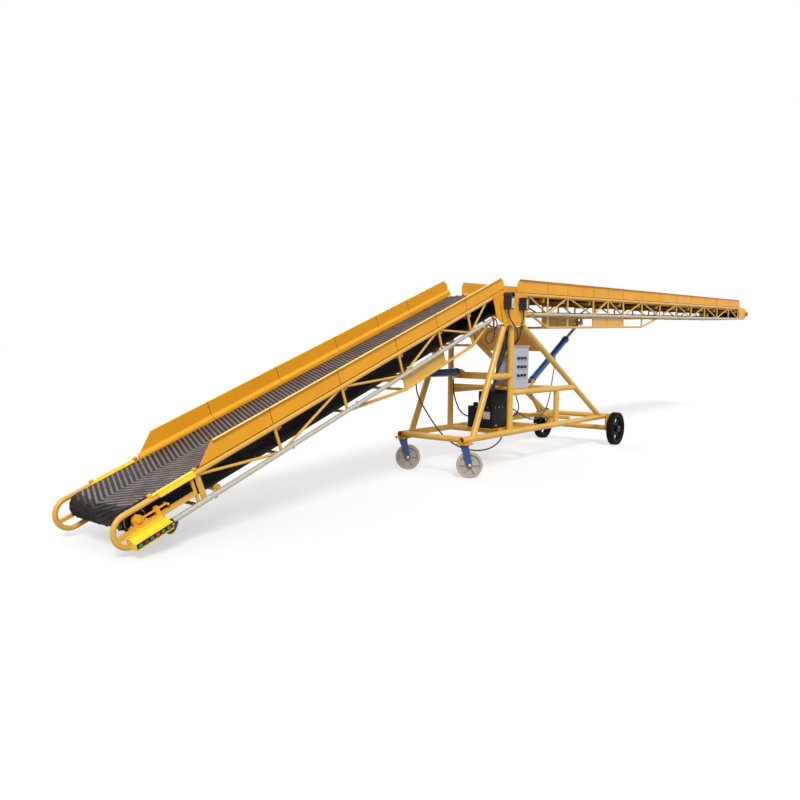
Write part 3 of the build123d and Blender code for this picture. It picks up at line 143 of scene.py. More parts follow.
@dataclass(frozen=True)
class Finish:
    """A procedural surface: two tones in a grain, a range of gloss, a fine relief and sparse specks."""
    name: str
    slot: str
    colour: str
    tone: str
    grain_mm: float
    rough: tuple[float, float]
    relief_mm: float
    relief: float
    metallic: float = 0.0
    coat: float = 0.0
    specular: float = 0.5
    grain: Grain = Grain.CLOUD
    speck: str = ""
    speck_mm: float = 30.0
    speck_share: float = 0.3

    def material(self) -> bpy.types.Material:
        """Builds the material once and gives it again later.

        Returns:
            The finish's material.
        """
        ready = bpy.data.materials.get(self.name)
        if ready:
            return ready
        material = bpy.data.materials.new(self.name)
        material.use_nodes = True
        tree = material.node_tree
        shader = tree.nodes["Principled BSDF"]
        shader.inputs["Metallic"].default_value = self.metallic
        shader.inputs["Coat Weight"].default_value = self.coat
        shader.inputs["Specular IOR Level"].default_value = self.specular
        shader.inputs["Coat Roughness"].default_value = COAT_ROUGH
        place = add_node(tree, "ShaderNodeTexCoord", {}).outputs["Object"]
        drawn = add_node(tree, "ShaderNodeMapping", {"Vector": place, "Scale": self.grain.value}).outputs[0]
        cloud = add_node(tree, "ShaderNodeTexNoise", {"Vector": drawn, "Scale": 1 / (self.grain_mm * MM),
                                                      "Detail": 4.0, "Roughness": 0.6}).outputs[0]
        spread = add_node(tree, "ShaderNodeMapRange", {0: cloud, 1: NOISE_LOW, 2: NOISE_HIGH}).outputs[0]
        base = add_node(tree, "ShaderNodeMix", {0: spread, 6: linear(self.colour), 7: linear(self.tone)},
                        {"data_type": "RGBA"}).outputs[2]
        if self.speck:
            dots = add_node(tree, "ShaderNodeTexNoise", {"Vector": place, "Scale": 1 / (self.speck_mm * MM),
                                                         "Detail": 3.0}).outputs[0]
            edge = SPECK_EDGE - SPECK_REACH * self.speck_share
            chosen = add_node(tree, "ShaderNodeMapRange", {0: dots, 1: edge, 2: edge + SPECK_BLUR}).outputs[0]
            base = add_node(tree, "ShaderNodeMix", {0: chosen, 6: base, 7: linear(self.speck)},
                            {"data_type": "RGBA"}).outputs[2]
        tree.links.new(base, shader.inputs["Base Color"])
        gloss = add_node(tree, "ShaderNodeMapRange", {0: cloud, 1: NOISE_LOW, 2: NOISE_HIGH,
                                                      3: self.rough[0], 4: self.rough[1]}).outputs[0]
        tree.links.new(gloss, shader.inputs["Roughness"])
        skin = add_node(tree, "ShaderNodeTexNoise", {"Vector": drawn, "Scale": 1 / (self.relief_mm * MM),
                                                     "Detail": 2.0}).outputs[0]
        bump = add_node(tree, "ShaderNodeBump", {"Height": skin, "Strength": self.relief,
                                                 "Distance": BUMP_DEPTH})
        tree.links.new(bump.outputs[0], shader.inputs["Normal"])
        return material


# Sprayed machine enamel over steel: warm orange yellow, half gloss, a little orange peel, duller specks.
YELLOW = Finish("machine_enamel_yellow", "yellow_paint", "#EBA524", "#E29B1C", 420, (0.38, 0.54), 9, 0.08,
                coat=0.05, specular=0.22, speck="#CF8A18", speck_mm=60, speck_share=0.2)
# The same enamel on bare tube, which catches more sky and looks lighter and a little greener.
TUBE_YELLOW = Finish("machine_enamel_tube", "yellow_paint", "#DDAB44", "#D3A03A", 300, (0.32, 0.48), 9, 0.1,
                     coat=0.12, specular=0.35, speck="#BF8A28", speck_mm=45, speck_share=0.25)
# Brightest yellow on the machine: tail covers, guard strips and button box, partly painted sunlight on their
# tops.
BRIGHT_LIT_YELLOW = Finish("machine_enamel_bright_and_lit", "yellow_paint", "#F9D02A", "#F4C524", 240, (0.34, 0.46),
                       9, 0.08, coat=0.08, specular=0.3)
# A painted highlight on the folded sheets' top edges, where the enamel faces the sky.
HIGHLIGHT_YELLOW = Finish("painted_edge_highlight", "yellow_paint", "#F7DC80", "#F2D06A", 240, (0.36, 0.5), 9, 0.06,
                     specular=0.3)
# Blue enamel on casters and cylinder barrels: deep, glossy, with paler scuffs.
BLUE = Finish("machine_enamel_blue", "blue_paint", "#16468A", "#123A74", 160, (0.26, 0.42), 8, 0.12, coat=0.3,
              speck="#3A5F96", speck_mm=26, speck_share=0.3)
# Black enamel on the power pack and the wheel centres: satin, with grey oil and dust marks.
BLACK_ENAMEL = Finish("black_enamel", "black_paint", "#0B0A0B", "#120F10", 140, (0.4, 0.6), 7, 0.15,
                      specular=0.15, speck="#221E1C", speck_mm=34, speck_share=0.3)
# Calendered conveyor rubber: dark grey brown, matt, dusted by what it carries.
BELT = Finish("conveyor_rubber", "belt_rubber", "#231E1E", "#2D2727", 220, (0.6, 0.75), 5, 0.25,
              specular=0.18, speck="#3A3332", speck_mm=30, speck_share=0.35)
# Moulded belt ribs on the top run: paler than the belt, from dust and painted sky light on their tops.
DUSTY_LIT_RIB = Finish("belt_rib_dust_and_painted_light", "belt_rubber", "#7C716B", "#5F5652", 140, (0.5, 0.66), 5, 0.25,
                  specular=0.3)
# Ribs just rolling over the drums: painted half shade.
HALF_SHADED_RIB = Finish("belt_rib_painted_half_shade", "belt_rubber", "#4A4241", "#3A3333", 140, (0.55, 0.7), 5, 0.25,
                  specular=0.2)
# The same ribs round the drums and underneath: painted nearly black as the shade there.
SHADED_RIB = Finish("belt_rib_painted_shade", "belt_rubber", "#1E191A", "#262122", 140, (0.6, 0.75), 5, 0.25,
                    specular=0.12)
# Solid tyre rubber: black, faintly bloomed.
TYRE = Finish("solid_tyre_rubber", "tyre_rubber", "#0E0D0E", "#161415", 90, (0.62, 0.8), 5, 0.3,
              specular=0.12, speck="#242120", speck_mm=22, speck_share=0.3)
# Turned and welded bright steel on drums and rollers: grey, streaked round by turning, a little rusty.
STEEL = Finish("turned_steel", "steel", "#8E8B88", "#7A7672", 60, (0.3, 0.5), 3, 0.12, metallic=1.0,
               grain=Grain.STREAK_Y, speck="#6E5A4A", speck_mm=40, speck_share=0.25)
# Zinc plated fasteners and ferrules: pale, slightly warm metal.
ZINC = Finish("zinc_plated_steel", "steel", "#C4C2B8", "#B0ADA2", 30, (0.28, 0.42), 3, 0.1, metallic=1.0)
# Hard chrome on the piston rods: mirror bright with a thin oil film.
CHROME = Finish("hard_chrome", "chrome", "#D8D8DA", "#CFCFD2", 120, (0.06, 0.16), 4, 0.02, metallic=0.6,
                grain=Grain.STREAK_X)
# Cast nylon on the caster wheels: warm white, waxy, scuffed grey where it rolls.
NYLON = Finish("cast_nylon", "nylon", "#B5AC9C", "#A49B8C", 70, (0.42, 0.6), 5, 0.15,
               speck="#8E8577", speck_mm=20, speck_share=0.35)
# Hot-dip galvanised conduit: pale grey with soft spangle.
GALVANISED = Finish("galvanised_steel", "galvanised", "#CBC7BA", "#B8B4A6", 24, (0.34, 0.52), 5, 0.1,
                    metallic=0.55, speck="#AAA89F", speck_mm=14, speck_share=0.35)
# Powder coated cabinet steel: pale lilac grey with the coat's fine orange peel.
POWDER_GREY = Finish("powder_coat_grey", "cabinet_grey", "#B6B6C1", "#ACACB8", 200, (0.42, 0.55), 4, 0.18)
# Moulded black ABS on knobs, glands and hoods: satin with a fine spark-eroded grain.
BLACK_PLASTIC = Finish("moulded_black_abs", "black_plastic", "#1D1E22", "#27282C", 60, (0.4, 0.55), 3, 0.2)
# Enamelled terminal box castings: blue black, half gloss.
TERMINAL = Finish("terminal_box_enamel", "black_plastic", "#232B36", "#1B212A", 60, (0.36, 0.5), 4, 0.18)
# Moulded cream ABS on the terminal boxes' covers and the knobs' pointers: warm, half matt.
CREAM = Finish("moulded_cream_abs", "black_plastic", "#CFC79B", "#C2B98C", 60, (0.42, 0.56), 3, 0.15)
# Coloured push-button caps: hard glossy plastic.
GREEN_CAP = Finish("button_cap_green", "button_plastic", "#2F8A3C", "#287A34", 20, (0.25, 0.35), 2, 0.05)
RED_CAP = Finish("button_cap_red", "button_plastic", "#C23A22", "#AE321C", 20, (0.25, 0.35), 2, 0.05)
DARK_RED_CAP = Finish("button_cap_dark_red", "button_plastic", "#6E2430", "#611E29", 20, (0.25, 0.35), 2,
                      0.05)
# Hose and cable sheath: black rubber, half matt, greyed by dust.
SHEATH = Finish("rubber_sheath", "hose_rubber", "#1C1B1C", "#2A2827", 50, (0.5, 0.68), 4, 0.2)
# Grey PVC sheath on the cylinders' outer hoses.
GREY_SHEATH = Finish("grey_sheath", "hose_rubber", "#4C4B4A", "#5A5856", 50, (0.5, 0.66), 4, 0.2)
# Sealing compound pressed into the skirts' seams, dark with dust.
SEALANT = Finish("seam_sealant", "hose_rubber", "#4A3318", "#3B2A15", 40, (0.6, 0.8), 3, 0.2)
# Bare anodised aluminium plate on the tank: pale, warm, softly metallic.
BARE_PLATE = Finish("bare_anodised_plate", "steel", "#C9AFA4", "#BFA59A", 30, (0.35, 0.45), 3, 0.06,
                    metallic=0.4)


@dataclass(frozen=True)
class TrolleyLine:
    """The trolley's own places: x from the upright posts."""
    posts_x: float

    def at(self, x: float, y: float, z: float) -> Vector:
        """Gives a trolley point, in metres of the shared frame."""
        return Vector((self.posts_x + x * MM, y * MM, z * MM))


@dataclass(frozen=True)
class BoomLine:
    """A boom's own places: a outwards from its pivot, c square to it and up."""
    pivot: Vector
    side: int
    slope: float
    body: str

    def along(self) -> Vector:
        """Gives the direction outwards along the boom."""
        return Vector((self.side * math.cos(self.slope), 0, math.sin(self.slope)))

    def up(self) -> Vector:
        """Gives the direction square to the boom, upwards."""
        return Vector((-self.side * math.sin(self.slope), 0, math.cos(self.slope)))

    def at(self, a: float, y: float, c: float) -> Vector:
        """Gives a boom point, in metres of the shared frame."""
        return self.pivot + (self.along() * a + self.up() * c) * MM + Vector((0, y * MM, 0))


def pivot_of(joint: str) -> Vector:
    """Finds a joint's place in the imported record.

    Args:
        joint: Name of the joint.

    Returns:
        The joint's point in metres.
    """
    found = [row for row in frame["joints"] if row["name"] == joint]
    return Vector(found[0]["pos_m"])


FEED = BoomLine(pivot_of("feed_boom_tilt"), -1, math.radians(-20.3), "feed_boom")
DISCHARGE = BoomLine(pivot_of("discharge_boom_tilt"), 1, math.radians(1.47), "discharge_boom")
TROLLEY = TrolleyLine((FEED.pivot.x + DISCHARGE.pivot.x) / 2)


def spokes(count: int, shift: float = 0.0, level: bool = False) -> list[Vector]:
    """Gives directions spread evenly round a full turn.

    Args:
        count: Number of directions.
        shift: Share of one step that they are all turned by.
        level: Whether they lie level; otherwise they stand in the plane of x and z.

    Returns:
        The unit directions in order.
    """
    turns = [math.tau * (k + shift) / count for k in range(count)]
    if level:
        return [Vector((math.cos(turn), math.sin(turn), 0)) for turn in turns]
    return [Vector((math.cos(turn), 0, math.sin(turn))) for turn in turns]


class Workpiece:
    """A mesh in the making, with the shapes that a fitter adds to a machine. Places are in metres."""

    def __init__(self, *finishes: Finish) -> None:
        """Starts an empty mesh that is painted with the first finish."""
        self.mesh = bmesh.new()
        self.finishes = list(finishes)
        self.brush = 0

    def paint(self, finish: Finish) -> None:
        """Paints what is added next with one of the piece's finishes."""
        self.brush = self.finishes.index(finish)

    def settle(self, verts: list, chamfer: float) -> list:
        """Paints new vertices' faces and breaks their sharp edges.

        Args:
            verts: Vertices of one new shape.
            chamfer: Width of the broken edges in millimetres, or 0.

        Returns:
            The shape's vertices.
        """
        faces = {face for vert in verts for face in vert.link_faces}
        for face in faces:
            face.material_index = self.brush
        if chamfer:
            edges = {edge for face in faces for edge in face.edges if edge.calc_face_angle(0) > SHARP}
            bmesh.ops.bevel(self.mesh, geom=list(edges), offset=chamfer * MM, segments=2, profile=0.5,
                            affect="EDGES", material=-1)
        return verts

    def rod(self, start: Vector, end: Vector, radius: float, sides: int = 20, chamfer: float = 0.0,
            tip: float | None = None) -> list:
        """Adds a round or many-sided bar.

        Args:
            start: Centre of one end.
            end: Centre of the other end.
            radius: Radius in millimetres at the start.
            sides: Number of sides.
            chamfer: Broken edges in millimetres.
            tip: Radius at the end where it tapers.

        Returns:
            The bar's first vertices.
        """
        axis = end - start
        turn = axis.to_track_quat("Z", "X").to_matrix().to_4x4()
        place = Matrix.Translation((start + end) / 2) @ turn
        made = bmesh.ops.create_cone(self.mesh, cap_ends=True, segments=sides, radius1=radius * MM,
                                     radius2=(radius if tip is None else tip) * MM, depth=axis.length,
                                     matrix=place)
        return self.settle(made["verts"], chamfer)

    def block(self, centre: Vector, size: Point, along: Vector, up: Vector, chamfer: float = 0.0) -> list:
        """Adds a box.

        Args:
            centre: Its middle.
            size: Lengths along, across and up, in millimetres.
            along: Direction of the first length.
            up: Direction of the third length.
            chamfer: Broken edges in millimetres.

        Returns:
            The box's first vertices.
        """
        side = up.cross(along)
        turn = Matrix((along, side, up)).transposed().to_4x4()
        place = Matrix.Translation(centre) @ turn @ Matrix.Diagonal((*(s * MM for s in size), 1))
        made = bmesh.ops.create_cube(self.mesh, size=1.0, matrix=place)
        return self.settle(made["verts"], chamfer)

    def bolt(self, at: Vector, axis: Vector, width: float) -> None:
        """Adds a washer, a hexagon head and a stub of thread.

        Args:
            at: Point on the seat.
            axis: Direction out of the seat.
            width: Width of the head in millimetres.
        """
        axis = axis.normalized()
        heights = (0.12, 0.62, 0.85)
        tops = [at + axis * (width * share * MM) for share in heights]
        self.rod(at, tops[0], width * 0.72, 16)
        self.rod(tops[0], tops[1], width * 0.56, 6, width * 0.05)
        self.rod(tops[1], tops[2], width * 0.26, 10)

    def lathe(self, centre: Vector, axis: Vector, outline: Outline, steps: int = 48,
              closed: bool = False) -> None:
        """Turns an outline once round an axis.

        Args:
            centre: Point on the axis that offsets are measured from.
            axis: Direction of the axis.
            outline: Radius and offset along the axis of each point, in millimetres.
            steps: Facets round the axis.
            closed: Whether the outline's ends join into a ring.
        """
        axis = axis.normalized()
        out = axis.orthogonal().normalized()
        verts = [self.mesh.verts.new(centre + out * (r * MM) + axis * (h * MM)) for r, h in outline]
        pairs = list(zip(verts, verts[1:])) + ([(verts[-1], verts[0])] if closed else [])
        edges = [self.mesh.edges.new(pair) for pair in pairs]
        before = set(self.mesh.faces)
        bmesh.ops.spin(self.mesh, geom=verts + edges, cent=centre, axis=axis, angle=2 * math.pi, steps=steps,
                       use_merge=True)
        for face in set(self.mesh.faces) - before:
            face.material_index = self.brush

    def sweep(self, path: list[Vector], radii: Sequence[float]) -> None:
        """Adds a tube along a path, with a radius at each point.

        Args:
            path: Points of its middle line in metres.
            radii: Radius at each point in millimetres.
        """
        data = bpy.data.curves.new("route", "CURVE")
        data.dimensions = "3D"
        data.bevel_depth = MM
        data.bevel_resolution = TUBE_FACETS
        data.use_fill_caps = True
        line = data.splines.new("POLY")
        line.points.add(len(path) - 1)
        for control, point, radius in zip(line.points, path, radii):
            control.co = (*point, 1.0)
            control.radius = radius
        holder = bpy.data.objects.new("route", data)
        bpy.context.scene.collection.objects.link(holder)
        traced = bpy.data.meshes.new_from_object(holder)
        before = set(self.mesh.faces)
        self.mesh.from_mesh(traced)
        for face in set(self.mesh.faces) - before:
            face.material_index = self.brush
        bpy.data.objects.remove(holder)
        bpy.data.meshes.remove(traced)

    def plate(self, corners: list[Vector], thickness: Vector, chamfer: float = 0.0) -> None:
        """Adds a plate of any outline.

        Args:
            corners: Outline of one face, in order.
            thickness: Direction and depth to the other face, in metres.
            chamfer: Broken edges in millimetres.
        """
        face = self.mesh.faces.new([self.mesh.verts.new(corner) for corner in corners])
        made = bmesh.ops.extrude_face_region(self.mesh, geom=[face], use_keep_orig=True)
        moved = [item for item in made["geom"] if isinstance(item, bmesh.types.BMVert)]
        bmesh.ops.translate(self.mesh, vec=thickness, verts=moved)
        self.settle(moved, chamfer)

    def done(self, name: str, body: str, smooth: float = CREASE) -> bpy.types.Object:
        """Finishes the mesh as a piece that rides on a body.

        Args:
            name: Name of the piece.
            body: Body that carries it.
            smooth: Edges sharper than this angle in degrees stay crisp.

        Returns:
            The piece.
        """
        piece = self.free(name, smooth)
        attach(piece, body)
        return piece

    def free(self, name: str, smooth: float = CREASE) -> bpy.types.Object:
        """Finishes the mesh as a piece with no body yet.

        Args:
            name: Name of the piece.
            smooth: Edges sharper than this angle in degrees stay crisp.

        Returns:
            The piece.
        """
        bmesh.ops.remove_doubles(self.mesh, verts=self.mesh.verts, dist=WELD)
        bmesh.ops.recalc_face_normals(self.mesh, faces=self.mesh.faces)
        data = bpy.data.meshes.new(name)
        self.mesh.to_mesh(data)
        self.mesh.free()
        data.shade_smooth()
        data.set_sharp_from_angle(angle=math.radians(smooth))
        for finish in self.finishes:
            data.materials.append(finish.material())
        piece = bpy.data.objects.new(name, data)
        bpy.context.scene.collection.objects.link(piece)
        log.info("%s: %d faces", name, len(data.polygons))
        return piece


@dataclass(frozen=True)
class Cord:
    """One cable or hose: its route's control points, length, and the bodies that it joins."""
    name: str
    width: float
    length: float
    points: tuple[Point, ...]
    finish: Finish = SHEATH
    stiffness: str = "medium"
    lay: str = "hanging"
    bodies: tuple[str, ...] = ("chassis",)
    blend: tuple[Point, Point] | None = None
    ribbed: bool = False

    def spline(self, bevel: float) -> bpy.types.Object:
        """Makes the route's smooth curve.

        Args:
            bevel: Radius of its tube in metres, or 0 for the bare line.

        Returns:
            The curve object.
        """
        data = bpy.data.curves.new(self.name, "CURVE")
        data.dimensions = "3D"
        data.resolution_u = CORD_STEPS
        data.bevel_depth = bevel
        data.bevel_resolution = TUBE_FACETS
        data.use_fill_caps = True
        line = data.splines.new("NURBS")
        line.points.add(len(self.points) - 1)
        for control, point in zip(line.points, self.points):
            control.co = (*TROLLEY.at(*point), 1.0)
        line.order_u = 3
        line.use_endpoint_u = True
        return bpy.data.objects.new(self.name, data)

    def line(self) -> list[Vector]:
        """Reads points along the smooth route.

        Returns:
            Points in metres, from the first end to the last.
        """
        bare = self.spline(0.0)
        bpy.context.scene.collection.objects.link(bare)
        traced = bpy.data.meshes.new_from_object(bare)
        points = [vert.co.copy() for vert in traced.vertices]
        bpy.data.objects.remove(bare)
        bpy.data.meshes.remove(traced)
        return points

    def tube(self, path: list[Vector]) -> bpy.types.Object:
        """Makes the cord as a mesh, plain where it runs between bodies or ribbed like a cable sleeve.

        Args:
            path: Points along the smooth route in metres.

        Returns:
            The mesh piece.
        """
        piece = Workpiece(self.finish)
        if self.ribbed:
            marks = [0.0]
            for start, end in zip(path, path[1:]):
                marks.append(marks[-1] + (end - start).length)
            steps = round(marks[-1] / (SLEEVE_PITCH / 2 * MM))
            dense, at = [], 0
            for k in range(steps + 1):
                goal = marks[-1] * k / steps
                while at < len(path) - 2 and marks[at + 1] < goal:
                    at += 1
                share = (goal - marks[at]) / (marks[at + 1] - marks[at])
                dense.append(path[at].lerp(path[at + 1], share))
            piece.sweep(dense, [self.width / 2 + (SLEEVE_RIB if k % 2 else 0.0) for k in range(steps + 1)])
        else:
            piece.sweep(path, [self.width / 2] * len(path))
        return piece.free(self.name + "_tube", 60.0)

    def build(self) -> bpy.types.Object:
        """Makes the cord, as a curve or ribbed tube on its first body, or as a tube left in the shared frame
        where it runs between two.

        Returns:
            The cord's piece.
        """
        path = self.line()
        meshed = bool(self.blend) or self.ribbed
        if meshed:
            piece = self.tube(path)
        else:
            piece = self.spline(self.width / 2 * MM)
            piece.name = self.name + "_curve"
            bpy.context.scene.collection.objects.link(piece)
            piece.data.materials.append(self.finish.material())
        if self.blend:
            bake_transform(piece)
        else:
            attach(piece, self.bodies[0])
        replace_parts(piece, self.name)
        log.info("%s: cord of %d points", piece.name, len(self.points))
        return piece


CORDS = (
    Cord("hinge_loop", 16, 1188, (
        (-480.2, -456.1, 1810.3), (-431, -458, 1828.5), (-382, -460, 1820), (-350, -462, 1780),
        (-358, -464, 1728), (-402, -465, 1698), (-458, -465, 1688), (-516, -465, 1680), (-574, -465, 1656),
        (-606, -465, 1606), (-592, -465, 1556), (-544, -464, 1532), (-486, -463, 1542), (-432, -459, 1576),
        (-386, -448, 1626), (-348, -424, 1682), (-300, -400, 1724), (-238, -384, 1746), (-166, -379, 1751),
        (-96, -379, 1743), (-32.2, -380, 1731.2)), stiffness="limp",
         bodies=("feed_boom", "chassis"), blend=((-480, -460, 1810), (-300, -400, 1724))),
    Cord("pack_bundle", 34, 780, (
        (0, -383, 1698.4), (6, -380, 1612), (0, -358, 1492), (-24, -334, 1374), (-56, -318, 1262),
        (-82, -300, 1160), (-90, -280, 1072), (-82, -262, 1000), (-78.2, -250.6, 941.3)), ribbed=True),
    Cord("feed_box_lead", 16, 579, (
        (-181, -515, 1948), (-181, -516, 1902), (-156, -518, 1842), (-98, -520, 1793), (-26, -519, 1750),
        (38, -516, 1700), (72, -510, 1635), (80, -490, 1578), (86, -447, 1540), (89.3, -418.5, 1512.8))),
    Cord("discharge_box_lead", 16, 478, (
        (181, -515, 1948), (181, -516, 1902), (168, -518, 1842), (140, -520, 1783), (122, -518, 1715),
        (116, -512, 1645), (117, -490, 1583), (120, -449, 1541), (121.6, -418.6, 1512.8))),
    Cord("feed_gland_hose", 18, 1937, (
        (-1024.9, 230, 1079.6), (-1024, 230, 986), (-985, 212, 865), (-935, 155, 735), (-897, 76, 600),
        (-840, 2, 470), (-745, -66, 362), (-612, -130, 278), (-430, -190, 226), (-245, -236, 214),
        (-72, -262, 240), (70, -270, 300), (150, -265, 375), (167.7, -261.1, 467.9)),
         bodies=("feed_barrel", "chassis"), blend=((-1020, 228, 1040), (-840, 0, 460))),
    Cord("feed_base_hose", 18, 585, (
        (-255, 230, 1093.2), (-255, 230, 1012), (-248, 227, 925), (-226, 223, 840), (-193, 216, 762),
        (-158, 204, 692), (-130, 172, 640), (-112, 124, 614), (-107.2, 82.1, 608.2)),
         bodies=("feed_barrel", "chassis"), blend=((-255, 230, 1080), (-190, 214, 760))),
    Cord("cabinet_cable", 16, 548, (
        (382, -300, 965.5), (384, -300, 905), (416, -299, 836), (470, -297, 772), (502, -292, 704),
        (490, -280, 640), (434, -262, 606), (366, -244, 606), (313.8, -230.8, 623.9)), stiffness="limp"),
    Cord("discharge_gland_hose", 18, 2259, (
        (310.8, -180, 700), (390, -180, 702), (512, -178, 684), (668, -174, 626), (836, -164, 562),
        (1014, -150, 509), (1204, -131, 481), (1392, -110, 492), (1562, -90, 552), (1704, -70, 646),
        (1815, -50, 778), (1900, -30, 930), (1972, -14, 1082), (2040, -3, 1218), (2050, 0, 1341.7)),
         GREY_SHEATH, bodies=("chassis", "discharge_barrel"), blend=((1300, -120, 480), (2045, 0, 1300))),
)


@dataclass(frozen=True)
class ChevronBelt:
    """Moulded ribs on one belt, in V rows round the whole loop, with gaps at the return rollers."""
    name: str
    line: BoomLine
    end_a: float
    end_c: float
    end_radius: float
    point_out: int
    returns: tuple[float, ...]
    drive_radius: float = DRIVE_BELT_R
    half_width: float = 360.0
    pitch: float = 44.0
    lean: float = 25.0
    segments: int = 3
    rib_width: float = 19.0
    rib_height: float = 6.0
    rib_draft: float = 0.45
    stretch: int = 24
    roller_room: float = 70.0
    overlap: float = 2.0
    under: float = -0.9
    # Lean of a rib's face above which it is painted lit, then half shaded; lower ribs are painted in shade.
    lit_bounds: tuple[float, float] = (0.985, 0.8)

    def runs(self) -> tuple[float, float, float, float]:
        """Works out the loop's straight runs and its wraps round the drums.

        Returns:
            Lean of the straight runs to the drums' line in radians, length of each run, and the
            lengths round the outer drum and round the drive drum.
        """
        reach = math.hypot(self.end_a, self.end_c)
        lean = math.asin((self.drive_radius - self.end_radius) / reach)
        run = math.sqrt(reach ** 2 - (self.drive_radius - self.end_radius) ** 2)
        return lean, run, self.end_radius * (math.pi - 2 * lean), self.drive_radius * (math.pi + 2 * lean)

    def length(self) -> float:
        """Gives the belt's outer length in millimetres."""
        _, run, nose, heel = self.runs()
        return 2 * run + nose + heel

    def spot(self, s: float) -> tuple[float, float, float, float]:
        """Finds a place on the belt's outer face.

        Args:
            s: Distance along the loop in millimetres, from the drive drum's top.

        Returns:
            Its a and c, and the a and c parts of the outward direction.
        """
        turn = math.atan2(self.end_c, self.end_a)
        lean, run, nose, _ = self.runs()
        s %= self.length()
        angle = turn + math.pi / 2 - lean
        if s < run:
            out = (math.cos(angle), math.sin(angle))
            return (self.drive_radius * out[0] + s * out[1], self.drive_radius * out[1] - s * out[0], *out)
        if s < run + nose:
            angle -= (s - run) / self.end_radius
            out = (math.cos(angle), math.sin(angle))
            return (self.end_a + self.end_radius * out[0], self.end_c + self.end_radius * out[1], *out)
        angle = turn - math.pi / 2 + lean
        out = (math.cos(angle), math.sin(angle))
        if s < 2 * run + nose:
            s -= run + nose
            return (self.end_a + self.end_radius * out[0] + s * out[1],
                    self.end_c + self.end_radius * out[1] - s * out[0], *out)
        angle -= (s - 2 * run - nose) / self.drive_radius
        out = (math.cos(angle), math.sin(angle))
        return (self.drive_radius * out[0], self.drive_radius * out[1], *out)

    def rib(self, piece: Workpiece, s: float, side: int, middle: float, width: float) -> None:
        """Adds one straight rib, narrower at its crest.

        Args:
            piece: Mesh that takes the rib.
            s: Place of its row along the loop.
            side: Side of the belt, -1 or 1.
            middle: Rib's middle from the belt's middle.
            width: Rib's reach across the belt.
        """
        slope = math.tan(math.radians(self.lean))
        a, c, out_a, out_c = self.spot(s + self.point_out * (self.half_width / 2 - middle) * slope)
        if out_c < self.under and any(abs(a - roller) < self.roller_room for roller in self.returns):
            return
        up = self.line.along() * out_a + self.line.up() * out_c
        ahead = self.line.along() * out_c - self.line.up() * out_a
        across = (Vector((0, side, 0)) - ahead * (self.point_out * slope)).normalized()
        rise = self.rib_height / 2
        # Painted light and shade: up-facing ribs lit, ribs turning over the drums half shaded, the rest in
        # shade.
        if out_c > self.lit_bounds[0]:
            piece.paint(DUSTY_LIT_RIB)
        else:
            piece.paint(HALF_SHADED_RIB if out_c > self.lit_bounds[1] else SHADED_RIB)
        centre = self.line.at(a + out_a * rise, side * middle, c + out_c * rise)
        size = (width / math.cos(math.radians(self.lean)) + self.overlap, self.rib_width, self.rib_height)
        flank = up.cross(across)
        for vert in piece.block(centre, size, across, up):
            if (vert.co - centre).dot(up) > 0:
                vert.co -= flank * ((vert.co - centre).dot(flank) * self.rib_draft)

    def build(self) -> bpy.types.Object:
        """Makes all the ribs of the belt as one piece, a stretch at a time.

        Returns:
            The ribs.
        """
        rows = round(self.length() / self.pitch)
        step = self.length() / rows
        width = self.half_width / self.segments
        whole = Workpiece(DUSTY_LIT_RIB, HALF_SHADED_RIB, SHADED_RIB)
        for first in range(0, rows, self.stretch):
            part = Workpiece(DUSTY_LIT_RIB, HALF_SHADED_RIB, SHADED_RIB)
            for row in range(first, min(first + self.stretch, rows)):
                for side in BODY_SIDES:
                    for k in range(self.segments):
                        self.rib(part, row * step, side, (k + 0.5) * width, width)
            held = bpy.data.meshes.new("stretch")
            part.mesh.to_mesh(held)
            part.mesh.free()
            whole.mesh.from_mesh(held)
            bpy.data.meshes.remove(held)
        return whole.done(self.name, self.line.body, 20.0)


